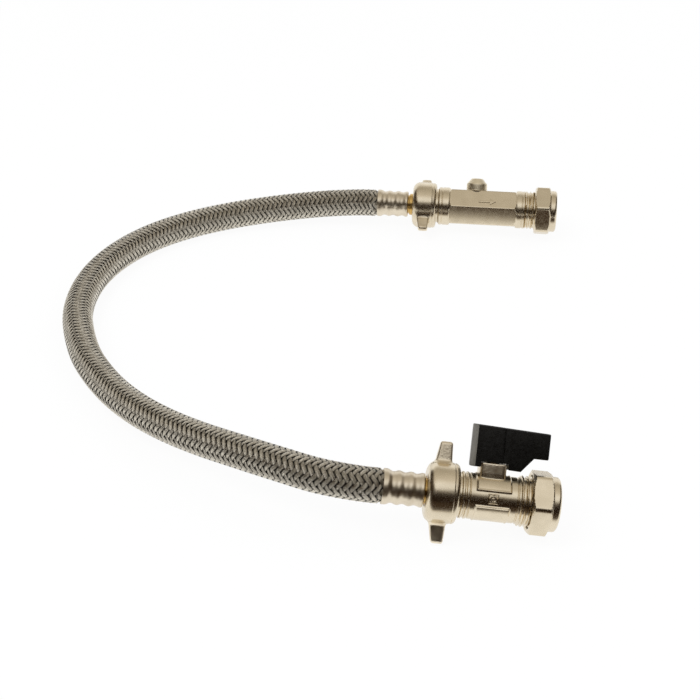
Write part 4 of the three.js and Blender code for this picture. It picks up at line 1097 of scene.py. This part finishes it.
# What stays of the CAD gets its own finish
carried = {
    "brassTurned": ["ball_valve_olive", "check_valve_olive", "seat_retainer", "spindle"],
    "plainSteel": ["lever_screw", "cartridge_circlip", "first_check_spring", "second_check_spring"],
    "nickelSatin": ["ball", "test_plug"],
    "pressedFibre": ["ball_valve_sealing_washer", "check_valve_sealing_washer"],
    "seatPlastic": ["hose_side_ball_seat", "pipe_side_ball_seat"],
    "cartridgePlastic": ["cartridge_spacer", "first_check_housing", "second_check_housing"],
    "poppetPlastic": ["first_check_poppet", "second_check_poppet"],
    "sealRubber": ["spindle_o_ring", "test_plug_seal", "first_check_seal", "second_check_seal"],
}
for look, nodes in carried.items():
    for node in nodes:
        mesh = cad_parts[node].data
        mesh.materials.clear()
        mesh.materials.append(finishes[look])
print("carried nodes finished")


# White surface, soft lights and graded cards that only reflections see
studio = {
    "floorSize": 6.0,
    "floorWhite": 0.9,
    "floorGlow": 0.93,
    "keyPower": 9.0,
    "fillPower": 4.0,
    "worldLight": 0.75,
    "wall": {"radius": 1.4, "from": -62, "to": 75, "top": 44},
    "wallShades": [(0.0, (0.012, 0.006, 0.003)), (0.62, (0.02, 0.012, 0.007)), (0.8, (0.12, 0.09, 0.06)),
                   (1.0, (0.6, 0.56, 0.5))],
    "ceiling": {"height": 1.5, "front": -0.6, "back": 2.6, "half": 2.5},
    "ceilingShades": [(0.0, (1.0, 0.98, 0.95)), (0.12, (0.68, 0.63, 0.56)), (0.3, (0.56, 0.52, 0.45)),
                      (0.55, (0.42, 0.38, 0.32)), (1.0, (0.95, 0.93, 0.9))],
    "groundShades": [(0.0, (0.045, 0.027, 0.016)), (0.7, (0.06, 0.04, 0.024)), (1.0, (0.9, 0.85, 0.76))],
    "groundHeight": 0.0004,
    "groundFade": 0.02,
    "sideShades": [(0.0, (0.03, 0.02, 0.012)), (0.5, (0.05, 0.035, 0.02)), (1.0, (0.3, 0.25, 0.18))],
    "side": {"away": 1.5, "front": -1.2, "back": 1.6, "height": 2.2},
}


# 1 where a ray comes from the camera, a reflection or through glass
def seenDirectly(tree):
    path = addNode(tree, "ShaderNodeLightPath").outputs
    either = computed(tree, "MAXIMUM", path["Is Camera Ray"], path["Is Glossy Ray"])
    return computed(tree, "MAXIMUM", either, path["Is Transmission Ray"])


def makeWorld():
    world = bpy.data.worlds.new("studio")
    bpy.context.scene.world = world
    world.use_nodes = True
    tree = world.node_tree
    back = tree.nodes["Background"]
    back.inputs["Color"].default_value = (1, 1, 1, 1)
    strength = ranged(tree, seenDirectly(tree), studio["worldLight"], 1, 0, 1)
    tree.links.new(strength, back.inputs["Strength"])


def makeFloor():
    half = studio["floorSize"] / 2
    mesh = bpy.data.meshes.new("floor")
    corners = [(-half, -half, 0), (half, -half, 0), (half, half, 0), (-half, half, 0)]
    mesh.from_pydata(corners, [], [(0, 1, 2, 3)])
    floor = addObject("floor", mesh)
    material, tree, shader = newMaterial("whiteSurface")
    shader.inputs["Base Color"].default_value = (*[studio["floorWhite"]] * 3, 1)
    shader.inputs["Roughness"].default_value = 0.9
    shader.inputs["Specular IOR Level"].default_value = 0.1
    glow = addNode(tree, "ShaderNodeEmission", {"Strength": 1.0}).outputs[0]
    amount = ranged(tree, seenDirectly(tree), 0, studio["floorGlow"], 0, 1)
    blend = wired(tree, "ShaderNodeMixShader", {0: amount, 1: shader.outputs[0], 2: glow})
    tree.links.new(blend, tree.nodes["Material Output"].inputs["Surface"])
    mesh.materials.append(material)


def cardMaterial(name, shades):
    material, tree, _ = newMaterial(name)
    spot = separated(tree, addNode(tree, "ShaderNodeUVMap", uv_map="grade").outputs["UV"])
    ramp = addNode(tree, "ShaderNodeValToRGB")
    marks = ramp.color_ramp.elements
    for k, (place, shade) in enumerate(shades):
        mark = marks[k] if k < 2 else marks.new(place)
        mark.position = place
        mark.color = (*shade, 1)
    tree.links.new(spot["Y"], ramp.inputs["Fac"])
    glow = wired(tree, "ShaderNodeEmission", {"Color": ramp.outputs["Color"]}, {"Strength": 1.0})
    tree.links.new(glow, tree.nodes["Material Output"].inputs["Surface"])
    return material


def makeCard(name, verts, faces, grades, shades):
    mesh = bpy.data.meshes.new(name)
    mesh.from_pydata(verts, [], faces)
    layer = mesh.uv_layers.new(name="grade")
    for loop in mesh.loops:
        layer.data[loop.index].uv = (0, grades[loop.vertex_index])
    card = addObject(name, mesh)
    mesh.materials.append(cardMaterial(name, shades))
    for kind in ("camera", "diffuse", "shadow", "transmission", "volume_scatter"):
        setattr(card, "visible_" + kind, False)


def makeCards():
    w = studio["wall"]
    columns = 24
    verts, grades = [], []
    for row in range(2):
        z = w["radius"] * math.tan(math.radians(w["top"])) * row + 0.001
        for k in range(columns + 1):
            a = math.radians(w["from"] + (w["to"] - w["from"]) * k / columns)
            verts.append((w["radius"] * math.sin(a), -w["radius"] * math.cos(a), z))
            grades.append(row)
    faces = gridFaces(2, columns + 1, False, False)
    makeCard("wallCard", verts, faces, grades, studio["wallShades"])
    c = studio["ceiling"]
    corners = [(-c["half"], c["front"], c["height"]), (c["half"], c["front"], c["height"]),
               (c["half"], c["back"], c["height"]), (-c["half"], c["back"], c["height"])]
    makeCard("ceilingCard", corners, [(0, 1, 2, 3)], [0, 0, 1, 1], studio["ceilingShades"])
    for name, xs, front, backs in (
        ("nearGroundCard", (-1.3, 1.3), -1.4, (-0.166, -0.166)),
        ("farGroundCard", (-0.075, 0.075), -0.02, (0.106, 0.094)),
    ):
        low = studio["groundHeight"]
        fades = [back - studio["groundFade"] for back in backs]
        spots = [
            (xs[0], front, low), (xs[1], front, low), (xs[1], fades[1], low),
            (xs[0], fades[0], low), (xs[1], backs[1], low), (xs[0], backs[0], low),
        ]
        grades = [0, 0, 0.3, 0.3, 1, 1]
        makeCard(name, spots, [(0, 1, 2, 3), (3, 2, 4, 5)], grades, studio["groundShades"])
    s = studio["side"]
    for name, x in (("leftSideCard", -s["away"]), ("rightSideCard", s["away"])):
        spots = [
            (x, s["front"], 0.002), (x, s["back"], 0.002),
            (x, s["back"], s["height"]), (x, s["front"], s["height"]),
        ]
        makeCard(name, spots, [(0, 1, 2, 3)], [0, 0, 1, 1], studio["sideShades"])


def makeLight(name, place, size, power):
    data = bpy.data.lights.new(name, "AREA")
    data.shape = "RECTANGLE"
    data.size = data.size_y = size
    data.energy = power
    light = addObject(name, data)
    toward = -Vector(place)
    light.matrix_world = Matrix.Translation(place) @ toward.to_track_quat("-Z", "Y").to_matrix().to_4x4()
    light.visible_glossy = False


makeWorld()
makeFloor()
makeLight("keyLight", (-0.7, -0.5, 1.3), 0.9, studio["keyPower"])
makeLight("fillLight", (0.9, 0.3, 1.0), 1.0, studio["fillPower"])
makeCards()
bpy.context.scene.view_settings.view_transform = "Standard"
